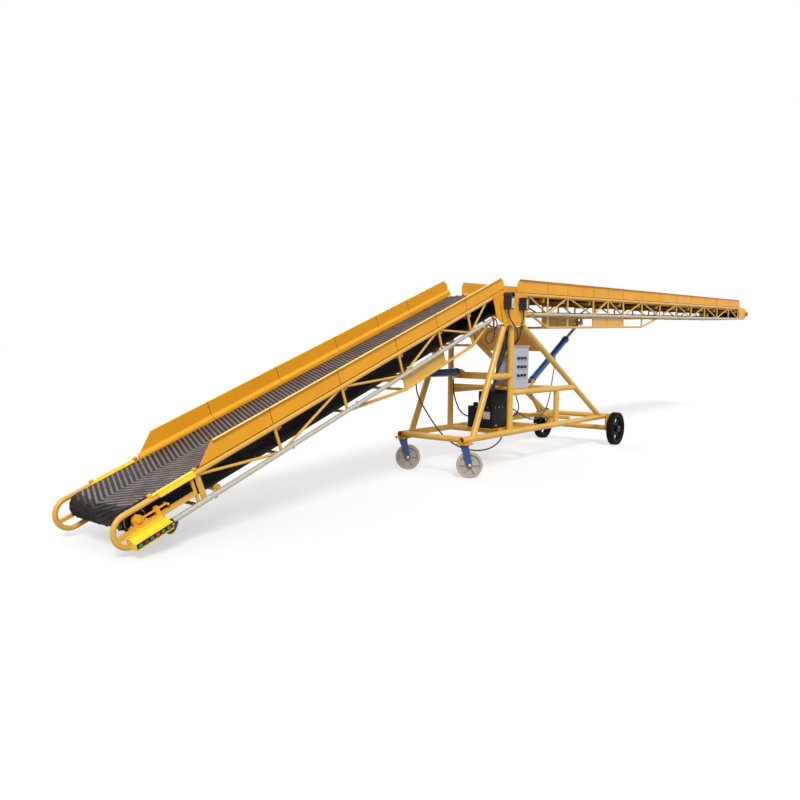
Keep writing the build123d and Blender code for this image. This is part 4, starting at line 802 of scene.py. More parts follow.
@dataclass(frozen=True)
class SkirtDress:
    """Sealed seams, rivets, painted highlights on the top edges and inner flanges on one boom's side sheets.
    """
    name: str
    line: BoomLine
    seams: tuple[float, ...]
    top: float
    rake: float
    belt: tuple[float, float]
    reach: float
    boom_y: float = 420.0
    low: float = 141.3
    half_sheet: float = 2.0
    lip: float = 22.0
    chamfer: float = 50.0
    rivet: float = 7.0
    rivet_offset: float = 15.0
    rivet_shape: Outline = ((0, 0.5), (0.6, 0.42), (1.0, 0.0))
    bead: float = 6.0
    bead_deep: float = 5.2
    lip_bead: float = 5.0
    foot_bead: float = 7.0
    folds: Outline = ((417.4, 168.0), (391.0, 143.0))
    flange_y: float = 389.0
    belt_gap: float = 4.0
    flange_gap: float = 2.0
    flange_thick: float = 2.0

    def panels(self) -> list[tuple[float, float, float, float]]:
        """Gives each panel's start and end, along its foot and along its top.

        Returns:
            Foot start, foot end, top start and top end of each panel.
        """
        rows = []
        for i, (start, end) in enumerate(zip(self.seams, self.seams[1:])):
            first, last = i == 0, i == len(self.seams) - 2
            rows.append((start, end, start + self.chamfer * first, end - self.rake * last))
        return rows

    def seal(self) -> None:
        """Fills the seams and the joint along the chords with dark compound."""
        piece = Workpiece(SEALANT)
        along, up = self.line.along(), self.line.up()
        for side in BODY_SIDES:
            y = side * self.boom_y
            for seam in self.seams[1:-1]:
                tall = self.top - self.low - 2
                piece.block(self.line.at(seam, y, self.low + tall / 2), (self.bead, self.bead_deep, tall),
                            along, up)
                piece.block(self.line.at(seam, y + side * self.lip / 2, self.top - 2),
                            (self.bead, self.lip, self.lip_bead), along, up)
            for start, end, _, _ in self.panels():
                middle = self.line.at((start + end) / 2, y, self.low + 4)
                piece.block(middle, (end - start - 2 * self.bead, self.bead_deep, self.foot_bead), along, up)
        piece.done(self.name + "_seals", self.line.body)

    def rivets(self) -> None:
        """Adds blind rivets in rows beside the seams, on both faces of the sheets."""
        piece = Workpiece(YELLOW)
        shape = [(r * self.rivet, h * self.rivet) for r, h in self.rivet_shape]
        for side in BODY_SIDES:
            for seam in self.seams[1:-1]:
                for offset in (-self.rivet_offset, self.rivet_offset):
                    for share in (0.2, 0.5, 0.8):
                        c = self.low + (self.top - self.low) * share
                        for face in BODY_SIDES:
                            at = self.line.at(seam + offset, side * self.boom_y + face * self.half_sheet, c)
                            piece.lathe(at, Vector((0, face, 0)), shape, 8)
        piece.done(self.name + "_rivets", self.line.body)

    def edges(self) -> None:
        """Adds the painted highlights along the top edges."""
        # Pale strips that paint the highlight on the sheets' sky-facing lips.
        piece = Workpiece(HIGHLIGHT_YELLOW)
        along, up = self.line.along(), self.line.up()
        for side in BODY_SIDES:
            y = side * (self.boom_y + self.lip / 2)
            for _, _, start, end in self.panels():
                middle = self.line.at((start + end) / 2, y, self.top + 0.8)
                piece.block(middle, (end - start - 8, self.lip + 3, 1.2), along, up, 0.3)
        piece.done(self.name + "_top_highlights", self.line.body)

    def flanges(self) -> None:
        """Adds the folded strips that close the gap between the sheets and the belt's edges."""
        piece = Workpiece(YELLOW)
        rise = self.belt[1] - self.belt[0]
        for side in BODY_SIDES:
            thick = Vector((0, -side * self.flange_thick * MM, 0))
            for start, end, _, _ in self.panels():
                first, last = start + self.flange_gap, end - self.flange_gap
                near, far = [self.belt[0] + rise * a / self.reach - self.belt_gap for a in (start, end)]
                rows = [(y, c, c) for y, c in self.folds] + [(self.flange_y, near, far)]
                for high, low in zip(rows, rows[1:]):
                    corners = [self.line.at(first, side * high[0], high[1]),
                               self.line.at(last, side * high[0], high[2]),
                               self.line.at(last, side * low[0], low[2]),
                               self.line.at(first, side * low[0], low[1])]
                    piece.plate(corners, thick)
        piece.done(self.name + "_flanges", self.line.body)

    def build(self) -> None:
        """Dresses all the sheets of the boom."""
        self.seal()
        self.rivets()
        self.edges()
        self.flanges()


@dataclass(frozen=True)
class TailEnd:
    """Bearing rings, bolts, take-up nuts, knobs and bent covers at the feed boom's tail."""
    drum: tuple[float, float] = TAIL_DRUM
    bar_y: float = 420.0
    face: float = 438.0
    foot_c: float = 8.3
    foot_bolt: float = 58.0
    screw_a: float = 4949.0
    screw_c: float = 31.0
    nuts: tuple[float, float] = (5017.0, 5052.0)
    cover: tuple[float, float] = (4662.0, 4990.0)
    cover_rows: Outline = ((406.0, 147.0), (430.0, 147.0), (455.0, 109.0))
    knob_a: float = 5045.0
    knob_c: float = 140.5
    bearing_cap: Outline = ((0, 22), (11, 21.4), (16, 19), (18, 15), (18, 7), (24, 7), (27, 3), (33, 3),
                            (36, 0))
    bearing_seal: Outline = ((24.5, 3.2), (26, 5), (27, 3.2))
    nipple_c: tuple[float, float] = (40.0, 52.0)
    screw_cap: Outline = ((0, 8), (6, 6), (10, 0), (10, -8), (8, -10))
    knob: Outline = ((0, 22), (12, 21), (20, 14), (20, 6), (14, 2), (10, 0))

    def bearings(self) -> None:
        """Adds the bearings' rings, bolts and grease nipples, and the take-up screws' nuts and knobs."""
        piece = Workpiece(YELLOW, ZINC, BLACK_PLASTIC)
        a, c = self.drum
        along, up = FEED.along(), FEED.up()
        for side in BODY_SIDES:
            out = Vector((0, side, 0))
            piece.paint(YELLOW)
            piece.lathe(FEED.at(a, side * self.face, c), out, self.bearing_cap)
            piece.paint(BLACK_PLASTIC)
            piece.lathe(FEED.at(a, side * self.face, c), out, self.bearing_seal)
            piece.paint(ZINC)
            foot, tip = [FEED.at(a, side * self.bar_y, c + rise) for rise in self.nipple_c]
            piece.rod(foot, tip, 4, 8, tip=2.5)
            for offset in (-self.foot_bolt, self.foot_bolt):
                piece.bolt(FEED.at(a + offset, side * self.bar_y, self.foot_c), up, 20)
            piece.paint(YELLOW)
            for nut in self.nuts:
                spot = FEED.at(nut, side * self.bar_y, self.screw_c)
                piece.rod(spot - along * 6 * MM, spot + along * 6 * MM, 15, 6, 1.2)
            for end in BODY_SIDES:
                tip = FEED.at(self.screw_a, side * self.bar_y + end * 30, self.screw_c)
                piece.lathe(tip, Vector((0, end, 0)), self.screw_cap, 16)
        piece.done("tail_bearing_fittings", "feed_boom")

    def covers(self) -> None:
        """Adds the bright bent covers over the chords and the round knobs that hold them."""
        piece = Workpiece(BRIGHT_LIT_YELLOW, YELLOW, HIGHLIGHT_YELLOW)
        start, end = self.cover
        for side in BODY_SIDES:
            # Painted light: the near cover takes the bright yellow with painted sunlight, the far cover the
            # painted highlight.
            piece.paint(BRIGHT_LIT_YELLOW if side < 0 else HIGHLIGHT_YELLOW)
            for high, low in zip(self.cover_rows, self.cover_rows[1:]):
                corners = [FEED.at(start, side * high[0], high[1]), FEED.at(end, side * high[0], high[1]),
                           FEED.at(end, side * low[0], low[1]), FEED.at(start, side * low[0], low[1])]
                piece.plate(corners, FEED.up() * 3 * MM)
        piece.paint(YELLOW)
        for side in BODY_SIDES:
            for a in (self.knob_a, self.cover[0] - 22):
                seat = FEED.at(a, side * (self.bar_y - 6), self.knob_c)
                piece.lathe(seat, FEED.up(), self.knob, 24)
        piece.done("tail_covers", "feed_boom")

    def build(self) -> None:
        """Dresses the tail."""
        self.bearings()
        self.covers()


@dataclass(frozen=True)
class ButtonStation:
    """The push-button box's hooded recess, its six buttons and its cable entry."""
    span: tuple[float, float] = (5020.0, 5335.0)
    face_y: float = -537.3
    face_c: tuple[float, float] = (-109.0, -57.0)
    pitch: float = 47.7
    hood: float = 26.0
    sheet: float = 3.0
    sill: float = 12.0
    caps: tuple[Finish, ...] = (GREEN_CAP, GREEN_CAP, RED_CAP, GREEN_CAP, DARK_RED_CAP, GREEN_CAP)
    collar: Outline = ((0, 0), (20, 0), (20, 4), (18, 7), (15.4, 7), (15.4, 3))
    cap: Outline = ((15, 2), (15, 11), (13.5, 13.2), (7, 14.2), (0, 14.4))
    screw: tuple[float, float] = (-480.0, -23.0)
    conduit: tuple[float, float] = (-456.1, -100.0)
    coupling: Outline = ((20.3, 0), (26, 0), (26, 12), (24, 14), (24, 40), (21.4, 54), (20.3, 56))
    sleeve: tuple[Point, ...] = (
        (4938, -462, -118), (4962, -474, -134), (4994, -490, -147), (5026, -502, -150), (5050, -508, -140),
        (5062, -510, -122), (5064, -510, -109.5))
    sleeve_radii: tuple[float, ...] = (11.0, 13.0, 13.0, 13.0, 13.0, 15.0, 17.0)

    def buttons(self) -> None:
        """Adds collars and coloured caps in place of the plain buttons."""
        piece = Workpiece(GREEN_CAP, RED_CAP, DARK_RED_CAP, BLACK_PLASTIC)
        middle = sum(self.span) / 2
        c = sum(self.face_c) / 2
        for i, cap in enumerate(self.caps):
            at = FEED.at(middle + (i - 2.5) * self.pitch, self.face_y - 1.4, c)
            piece.paint(BLACK_PLASTIC)
            piece.lathe(at, NEAR_OUT, self.collar, 28)
            piece.paint(cap)
            piece.lathe(at, NEAR_OUT, self.cap, 28)
        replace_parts(piece.done("button_caps", "feed_boom"), "buttons")

    def surround(self) -> None:
        """Adds the dark back plate, which paints the shade in the recess, and the hood round the buttons."""
        piece = Workpiece(BRIGHT_LIT_YELLOW, BLACK_PLASTIC, YELLOW, ZINC)
        middle = sum(self.span) / 2
        low, high = self.face_c
        long = self.span[1] - self.span[0]
        along, up = FEED.along(), FEED.up()
        # Painted shade: a black plate behind the buttons darkens the recess under the hood.
        piece.paint(BLACK_PLASTIC)
        piece.block(FEED.at(middle, self.face_y - 0.8, (low + high) / 2), (long - 10, 1.2, high - low - 6),
                    along, up)
        # The hood and sill take the brightest yellow, which holds painted sunlight.
        piece.paint(BRIGHT_LIT_YELLOW)
        for deep, c in ((self.hood, high + self.sheet / 2), (self.sill, low - self.sheet / 2)):
            piece.block(FEED.at(middle, self.face_y - deep / 2, c), (long, deep, self.sheet), along, up, 0.6)
        piece.paint(YELLOW)
        for a in self.span:
            inward = self.sheet / 2 if a == self.span[0] else -self.sheet / 2
            edge = ((0, high), (self.hood, high), (self.sill, low), (0, low))
            corners = [FEED.at(a + inward, self.face_y - deep, c) for deep, c in edge]
            piece.plate(corners, along * (inward * 2 * MM))
        piece.paint(ZINC)
        for share in (0.04, 0.96):
            piece.bolt(FEED.at(self.span[0] + long * share, *self.screw), up, 10)
        piece.done("button_hood", "feed_boom")

    def entry(self) -> None:
        """Adds the coupling on the conduit's end and the bent sleeve below the box."""
        piece = Workpiece(BLACK_PLASTIC)
        along = FEED.along()
        end = FEED.at(self.span[0] - SEAT, *self.conduit)
        piece.lathe(end, -along, self.coupling, 32)
        piece.rod(end - along * 18 * MM, end - along * 30 * MM, 28, 6, 1.5)
        piece.sweep([FEED.at(*bend) for bend in self.sleeve], self.sleeve_radii)
        piece.done("button_box_entry", "feed_boom")

    def build(self) -> None:
        """Dresses the push-button box."""
        self.buttons()
        self.surround()
        self.entry()


@dataclass(frozen=True)
class ConduitClips:
    """Saddle clips that hold a conduit to its chord."""
    name: str
    line: BoomLine
    spots: tuple[float, ...]
    y: float
    c: float
    radius: float

    def build(self) -> None:
        """Adds a band, an ear and a screw at each spot."""
        piece = Workpiece(GALVANISED, ZINC)
        for a in self.spots:
            piece.paint(GALVANISED)
            at = self.line.at(a, self.y, self.c)
            r = self.radius
            band = [(r + 0.3, -13), (r + 2.4, -13), (r + 2.4, 13), (r + 0.3, 13)]
            piece.lathe(at, self.line.along(), band, 28)
            for step in BODY_SIDES:
                ear = self.line.at(a, self.y - 1, self.c + step * (r + 9))
                piece.block(ear, (26, 3, 18), self.line.along(), self.line.up(), 0.6)
                if step > 0:
                    piece.paint(ZINC)
                    piece.bolt(ear + Vector((0, -1.6 * MM, 0)), NEAR_OUT, 9)
                    piece.paint(GALVANISED)
        piece.done(self.name, self.line.body)


@dataclass(frozen=True)
class TerminalBoxes:
    """Covers, screws, hood rim and glands of the two boxes on the pivot shafts."""
    pivot_x: float = PIVOT_X
    pivot_z: float = PIVOT_Z
    lid_y: float = -571.3
    lid: tuple[float, float] = (66.0, 140.0)
    screw_reach: tuple[float, float] = (28.0, 64.0)
    screw: Outline = ((0, 3), (3.5, 2.6), (5, 0))
    collar_y: float = -469.4
    collar: Outline = ((27, 0), (54, 0), (54, 8), (46, 14), (42, 14))
    hood_y: float = -520.0
    hood_radius: float = 44.0
    hood_rise: float = 79.0
    hood_steps: int = 8

    def build(self) -> None:
        """Adds the cream covers, their screws, the hood and the collars."""
        piece = Workpiece(CREAM, BLACK_PLASTIC, ZINC, TERMINAL)
        for side in BODY_SIDES:
            x = side * self.pivot_x
            wide, shift = (60, 0) if side < 0 else (30, -16)
            piece.paint(CREAM)
            piece.block(TROLLEY.at(x + shift, self.lid_y - 3, self.pivot_z - 8), (wide, 6, 118), AHEAD,
                        UPRIGHT, 3)
            piece.paint(TERMINAL)
            piece.block(TROLLEY.at(x, self.lid_y - 1.5, self.pivot_z), (self.lid[0], 3, self.lid[1]), AHEAD,
                        UPRIGHT, 1)
            piece.paint(ZINC)
            for dx in BODY_SIDES:
                for dz in BODY_SIDES:
                    at = TROLLEY.at(x + dx * self.screw_reach[0], self.lid_y - 3,
                                    self.pivot_z + dz * self.screw_reach[1])
                    piece.lathe(at, NEAR_OUT, self.screw, 12)
            piece.paint(BLACK_PLASTIC)
            piece.lathe(TROLLEY.at(x, self.collar_y, self.pivot_z), NEAR_OUT, self.collar, 40)
        x, r = -self.pivot_x, self.hood_radius
        for k in range(self.hood_steps + 1):
            turn = math.pi * k / self.hood_steps
            at = TROLLEY.at(x + r * math.cos(turn), self.hood_y,
                            self.pivot_z + self.hood_rise + r * math.sin(turn))
            piece.block(at, (110, 20, 4), NEAR_OUT, Vector((math.cos(turn), 0, math.sin(turn))), 0.5)
        for y in (-562, -480):
            for dx in BODY_SIDES:
                piece.block(TROLLEY.at(x + dx * r, y, self.pivot_z + 62), (10, 4, 40), NEAR_OUT, UPRIGHT, 0.5)
        piece.done("terminal_covers", "chassis")


@dataclass(frozen=True)
class CabinetDress:
    """Knobs, hinges, lock, gasket and rain lip of the switch cabinet."""
    low: Point = (62.0, -430.0, 966.3)
    high: Point = (442.0, -202.0, 1506.3)
    door_y: float = -452.0
    knob_mid: tuple[float, float] = (252.0, 1246.3)
    knob_pitch: tuple[float, float] = (82.0, 108.0)
    knob_turn: float = 35.0
    ring: Outline = ((17.4, 0.4), (26, 0.4), (26, 2), (24, 3.4), (17.4, 3.4))
    hinges: tuple[float, float] = (1062.0, 1410.0)
    hinge_x: float = 56.0
    hinge_half: float = 36.0
    lip: float = 400.0
    gasket_y: float = -431.0
    gasket_out: float = 1.4
    lock_x: float = 424.0
    lock: Outline = ((0, 5), (8, 5), (8, 9), (13, 8), (15, 0.4))
    screw: Outline = ((0, 4), (5, 3.4), (7, 0.4))
    screw_in: tuple[float, float] = (16.0, 24.0)

    def knobs(self) -> None:
        """Adds a ring, a grip and a pointer line to each knob."""
        piece = Workpiece(BLACK_PLASTIC, ZINC, CREAM)
        for i in (-1, 0, 1):
            for k in (-1, 0, 1):
                x = self.knob_mid[0] + i * self.knob_pitch[0]
                z = self.knob_mid[1] + k * self.knob_pitch[1]
                turn = math.radians(self.knob_turn * ((i + 2 * k) % 3 - 1))
                up = Vector((math.sin(turn), 0, math.cos(turn)))
                along = NEAR_OUT.cross(up)
                piece.paint(ZINC)
                piece.lathe(TROLLEY.at(x, self.door_y, z), NEAR_OUT, self.ring, 32)
                piece.paint(BLACK_PLASTIC)
                piece.block(TROLLEY.at(x, self.door_y - 28, z), (11, 9, 38), along, up, 2)
                piece.paint(CREAM)
                piece.block(TROLLEY.at(x, self.door_y - 32.8, z) + up * 11 * MM, (2.4, 0.8, 13), along, up)
        piece.done("cabinet_knob_grips", "chassis")

    def door(self) -> None:
        """Adds the hinges, the lock, the gasket and the rain lip."""
        piece = Workpiece(POWDER_GREY, BLACK_PLASTIC, ZINC)
        along, up = AHEAD, UPRIGHT
        middle_x = (self.low[0] + self.high[0]) / 2
        for z in self.hinges:
            foot, top = [TROLLEY.at(self.hinge_x, self.door_y + 6, z + end * self.hinge_half)
                         for end in BODY_SIDES]
            piece.rod(foot, top, 7, 16, 1)
            piece.block(TROLLEY.at(self.hinge_x + 5, self.door_y + 14, z), (6, 14, 60), along, up, 1)
        for dy, dz, deep, high in ((8, 3, 40, 3), (-11, -2, 3, 12)):
            piece.block(TROLLEY.at(middle_x, self.door_y + dy, self.high[2] + dz), (self.lip, deep, high),
                        along, up, 0.8)
        piece.paint(BLACK_PLASTIC)
        tall = self.high[2] - self.low[2] - 16
        middle_z = (self.low[2] + self.high[2]) / 2
        for x in (self.low[0] - self.gasket_out, self.high[0] + self.gasket_out):
            piece.block(TROLLEY.at(x, self.gasket_y, middle_z), (3.4, 5, tall), along, up)
        piece.paint(ZINC)
        piece.lathe(TROLLEY.at(self.lock_x, self.door_y, self.knob_mid[1]), NEAR_OUT, self.lock, 28)
        for z in (self.low[2] + self.screw_in[1], self.high[2] - self.screw_in[1]):
            for x in (self.low[0] + self.screw_in[0], self.high[0] - self.screw_in[0]):
                piece.lathe(TROLLEY.at(x, self.door_y, z), NEAR_OUT, self.screw, 12)
        piece.done("cabinet_door_fittings", "chassis")

    def build(self) -> None:
        """Dresses the cabinet."""
        self.knobs()
        self.door()


@dataclass(frozen=True)
class PowerPack:
    """Fins, lid, plate, plugs and filler cap of the hydraulic power pack."""
    tank_low: Point = (-150.0, -290.0, 476.6)
    tank_high: Point = (310.0, 80.0, 746.6)
    cowl_low: Point = (-130.0, -280.0, 746.9)
    cowl_high: Point = (290.0, -60.0, 936.9)
    fin: float = 7.0
    fin_pitch: float = 21.0
    fin_short: float = 70.0
    fin_out: float = 4.0
    breather: Outline = ((0, 26), (20, 26), (34, 20), (38, 8), (38, 0))
    guard_vanes: int = 8
    guard_radius: float = 44.0
    rim: float = 40.0
    rim_drop: float = 8.0
    sight: Outline = ((0, 2), (14, 2), (14, 6), (20, 6), (22, 0))
    sight_z: float = 655.0
    plate: tuple[float, float] = (-205.0, 640.0)
    filler: Outline = ((25, 0), (31, 0), (31, 24), (26, 30), (0, 31))
    filler_grips: int = 14
    filler_radius: float = 31.0

    def cowl(self) -> None:
        """Adds cooling fins round the motor's cowl, and a pad, breather, fan guard and bolts on its top."""
        piece = Workpiece(BLACK_ENAMEL, ZINC)
        along, up = AHEAD, UPRIGHT
        low, high = self.cowl_low, self.cowl_high
        middle = [(a + b) / 2 for a, b in zip(low, high)]
        z = low[2] + 26
        long, wide = high[0] - low[0] - self.fin_short, high[1] - low[1] - self.fin_short
        while z < high[2] - 16:
            piece.block(TROLLEY.at(middle[0], low[1] - self.fin_out, z), (long, 12, self.fin), along, up, 1)
            for x in (low[0] - self.fin_out, high[0] + self.fin_out):
                piece.block(TROLLEY.at(x, middle[1], z), (12, wide, self.fin), along, up, 1)
            z += self.fin_pitch
        piece.block(TROLLEY.at(middle[0] + 40, middle[1], high[2] + 9), (240, 150, 18), along, up, 5)
        piece.lathe(TROLLEY.at(middle[0] + 120, middle[1], high[2] + 18), up, self.breather, 32)
        r = self.guard_radius
        for k in range(self.guard_vanes):
            turn = math.tau * k / self.guard_vanes
            at = TROLLEY.at(middle[0] + 20 + r * math.cos(turn), middle[1] + r * math.sin(turn), high[2] + 20)
            piece.block(at, (26, 5, 6), Vector((math.cos(turn), math.sin(turn), 0)), up, 0.8)
        piece.paint(ZINC)
        for x in (low[0] + 36, high[0] - 36):
            piece.bolt(TROLLEY.at(x, middle[1] - 80, high[2]), up, 14)
        piece.done("pump_cowl_fins", "chassis")

    def tank(self) -> None:
        """Adds the lid's rim and bolts, the bare plate, sight glass, plugs and filler cap."""
        piece = Workpiece(BLACK_ENAMEL, ZINC, BARE_PLATE)
        low, high = self.tank_low, self.tank_high
        along, up, out = AHEAD, UPRIGHT, NEAR_OUT
        middle_x = (low[0] + high[0]) / 2
        middle_y = (low[1] + high[1]) / 2
        rim_z = high[2] - self.rim_drop
        long, wide = high[0] - low[0] - self.rim, high[1] - low[1] - self.rim
        piece.block(TROLLEY.at(middle_x, low[1] - 5, rim_z), (long, 10, 12), along, up, 2)
        piece.block(TROLLEY.at(low[0] - 5, middle_y, rim_z), (10, wide, 12), along, up, 2)
        piece.paint(ZINC)
        for k in range(5):
            piece.bolt(TROLLEY.at(low[0] + 50 + 90 * k, low[1] - 10, rim_z), out, 9)
        for k in range(4):
            piece.bolt(TROLLEY.at(low[0] - 10, low[1] + 60 + 84 * k, rim_z), -along, 9)
        piece.bolt(TROLLEY.at(middle_x - 150, low[1], low[2] + 34), out, 22)
        piece.lathe(TROLLEY.at(high[0] - 60, low[1], self.sight_z), out, self.sight, 28)
        piece.paint(BARE_PLATE)
        piece.block(TROLLEY.at(low[0] - 1.2, *self.plate), (2, 104, 92), along, up, 0.5)
        piece.paint(BLACK_ENAMEL)
        cap = TROLLEY.at(low[0] + 80, low[1] + 300, high[2] + 14)
        piece.lathe(cap, up, self.filler, 32)
        for spoke in spokes(self.filler_grips, level=True):
            piece.block(cap + spoke * self.filler_radius * MM + up * 12 * MM, (4, 5, 20), spoke, up, 0.8)
        piece.done("oil_tank_fittings", "chassis")

    def build(self) -> None:
        """Dresses the power pack."""
        self.cowl()
        self.tank()


@dataclass(frozen=True)
class RearWheel:
    """Treaded solid tyre, hub cap and wheel nuts of one rear wheel."""
    side: str
    out: int
    centre: Point
    radius: float = 249.4
    lugs: int = 30
    lug_y: float = 24.5
    lug_depth: float = 4.6
    half_tyre: Outline = ((192.4, 34), (199, 45), (213, 51.5), (227, 52.4), (237, 48), (242, 40), (243, 30))
    bead: Outline = ((176, 35.2), (190, 35.2), (191.6, 38), (190, 41), (180, 41), (176, 37))
    nuts: int = 6
    nut_circle: float = 35.0
    nut_face: float = 55.0
    hub_cap: Outline = ((0, 73), (14, 73), (22, 69), (24, 55))

    def tyre(self) -> None:
        """Makes the tyre with two staggered rows of tread blocks, in place of the plain ring."""
        piece = Workpiece(TYRE)
        hub = TROLLEY.at(*self.centre)
        axis = Vector((0, 1, 0))
        half = self.half_tyre
        piece.lathe(hub, axis, [(r, -w) for r, w in half] + [(r, w) for r, w in reversed(half)], 72, True)
        for row, y in enumerate((-self.lug_y, self.lug_y)):
            for out in spokes(self.lugs, row / 2):
                at = hub + out * ((self.radius - self.lug_depth) * MM) + axis * (y * MM)
                piece.block(at, (44, 36, 9), axis.cross(out).cross(axis).cross(axis), out, 1.5)
        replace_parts(piece.done(f"rear_tyre_tread_{self.side}", f"rear_wheel_{self.side}"),
                    f"rear_tyre_{self.side}")

    def hub(self) -> None:
        """Adds the hub's cap, nuts and rim beads."""
        piece = Workpiece(BLACK_ENAMEL, ZINC)
        centre = TROLLEY.at(*self.centre)
        for face in BODY_SIDES:
            axis = Vector((0, face, 0))
            piece.paint(BLACK_ENAMEL)
            piece.lathe(centre, axis, self.bead, 64, True)
            piece.paint(ZINC)
            for spot in spokes(self.nuts, 0.5):
                piece.bolt(centre + spot * self.nut_circle * MM + axis * self.nut_face * MM, axis, 13)
        piece.paint(BLACK_ENAMEL)
        piece.lathe(centre, Vector((0, self.out, 0)), self.hub_cap, 32)
        piece.done(f"rear_hub_{self.side}", f"rear_wheel_{self.side}")

    def build(self) -> None:
        """Dresses the wheel."""
        self.tyre()
        self.hub()


@dataclass(frozen=True)
class Caster:
    """Nuts, washers, swivel race and plate bolts of one caster."""
    side: str
    swivel: tuple[float, float]
    heading: float = -51.0
    trail: float = 60.0
    axle_z: float = 150.0
    leg: float = 44.0
    plate_z: float = 385.7
    bolt_reach: float = 58.0
    upper_race: Outline = ((52.3, 3), (58, 3), (60, 8), (58, 14), (54, 17), (52.3, 17))
    lower_race: Outline = ((52.3, 22), (56, 22), (57, 26), (52.3, 29))
    king_nut: tuple[float, float] = (37.6, 52.0)
    washer: Outline = ((9.2, 0.3), (19, 0.3), (19, 2.4), (9.2, 2.4))
    nut: tuple[float, float] = (2.6, 11.0)
    boss: Outline = ((9.8, 31.3), (19, 31.3), (21, 33), (19, 35), (9.8, 35))
    tread_bead: Outline = ((121, 29), (124, 31.2), (127, 29))
    seat_ring: Outline = ((50, 0.1), (66, 0.1), (66, 3), (60, 5.2), (50, 5.2))

    def build(self) -> None:
        """Dresses the fork, the wheel and the mounting plate."""
        turn = math.radians(self.heading)
        ahead = Vector((math.cos(turn), math.sin(turn), 0))
        axle = Vector((-math.sin(turn), math.cos(turn), 0))
        up = UPRIGHT
        pivot = TROLLEY.at(*self.swivel, 0)
        wheel = pivot + ahead * (self.trail * MM) + up * (self.axle_z * MM)
        fork = Workpiece(BLUE, ZINC)
        top = pivot + up * (self.plate_z - 1) * MM
        fork.lathe(top, -up, self.upper_race, 48)
        fork.lathe(top, -up, self.lower_race, 48)
        fork.paint(ZINC)
        fork.rod(top - up * self.king_nut[0] * MM, top - up * self.king_nut[1] * MM, 15, 6, 1.2)
        for face in BODY_SIDES:
            out = axle * face
            fork.lathe(wheel + out * (self.leg * MM), out, self.washer, 28)
            seat, face_end = [wheel + out * ((self.leg + reach) * MM) for reach in self.nut]
            fork.rod(seat, face_end, 14.5, 6, 1.2)
        fork.done(f"caster_fork_fittings_{self.side}", f"caster_fork_{self.side}")
        hub = Workpiece(STEEL, NYLON)
        for face in BODY_SIDES:
            out = axle * face
            hub.lathe(wheel, out, self.boss, 28)
            hub.paint(NYLON)
            hub.lathe(wheel, out, self.tread_bead, 56)
            hub.paint(STEEL)
        hub.done(f"caster_hub_{self.side}", f"caster_wheel_{self.side}")
        plate = Workpiece(YELLOW)
        plate.lathe(top + up * 0.6 * MM, -up, self.seat_ring, 48)
        for dx in BODY_SIDES:
            for dy in BODY_SIDES:
                at = TROLLEY.at(self.swivel[0] + dx * self.bolt_reach,
                                self.swivel[1] + dy * self.bolt_reach, 0)
                plate.bolt(at + up * (self.plate_z + 10) * MM, up, 17)
                plate.bolt(at + up * self.plate_z * MM, -up, 17)
        plate.done(f"caster_plate_bolts_{self.side}", "chassis")


@dataclass(frozen=True)
class HingeHead:
    """Bolts and flange bearings at the top of the trolley and on the booms' hinge plates."""
    cheek_face: float = 469.0
    plate_face: float = PLATE_FACE
    pivot_x: float = PIVOT_X
    pivot_z: float = PIVOT_Z
    plate_bolts: Outline = ((70, 120), (185, 120), (185, -85), (120, -165), (10, -165))
    bolt: float = 15.0
    slim_bolt: float = 6.0
    slim_reach: float = 60.0
    foot_bolts: tuple[float, ...] = (-160, -75, 10, 95, 180, 265)
    foot_z: float = 1800.0
    weld_z: float = 1772.0
    bearing: Outline = ((0, 16), (20, 16), (30, 22), (38, 22), (44, 12), (62, 10), (64, 0.4))
    bearing_bolts: int = 4
    bolt_circle: float = 54.0
    flange: float = 10.0

    def trolley(self) -> None:
        """Adds the cheeks' foot bolts and weld runs, and the far flange bearings."""
        piece = Workpiece(YELLOW, ZINC)
        for side in BODY_SIDES:
            out = Vector((0, side, 0))
            for x in self.foot_bolts:
                piece.bolt(TROLLEY.at(x, side * self.cheek_face, self.foot_z), out, 18)
            run = [TROLLEY.at(x, side * (self.cheek_face + 1), self.weld_z) for x in range(-200, 305, 12)]
            piece.sweep(run, [3.4 + 0.8 * (k % 2) for k in range(len(run))])
        for x in (-self.pivot_x, self.pivot_x):
            at = TROLLEY.at(x, self.cheek_face, self.pivot_z)
            out = Vector((0, 1, 0))
            piece.paint(YELLOW)
            piece.lathe(at, out, self.bearing, 48)
            piece.paint(ZINC)
            for spot in spokes(self.bearing_bolts, 0.5):
                piece.bolt(at + spot * self.bolt_circle * MM + out * self.flange * MM, out, 12)
        piece.done("cheek_fittings", "chassis")

    def booms(self) -> None:
        """Adds the bolts that join the hinge plates to the booms."""
        for line in (FEED, DISCHARGE):
            piece = Workpiece(YELLOW)
            for side in BODY_SIDES:
                for a, c in self.plate_bolts:
                    width = self.slim_bolt if a < self.slim_reach else self.bolt
                    piece.bolt(line.at(a, side * self.plate_face, c), Vector((0, side, 0)), width)
            piece.done(f"{line.body}_hinge_bolts", line.body)

    def build(self) -> None:
        """Dresses the hinge."""
        self.trolley()
        self.booms()


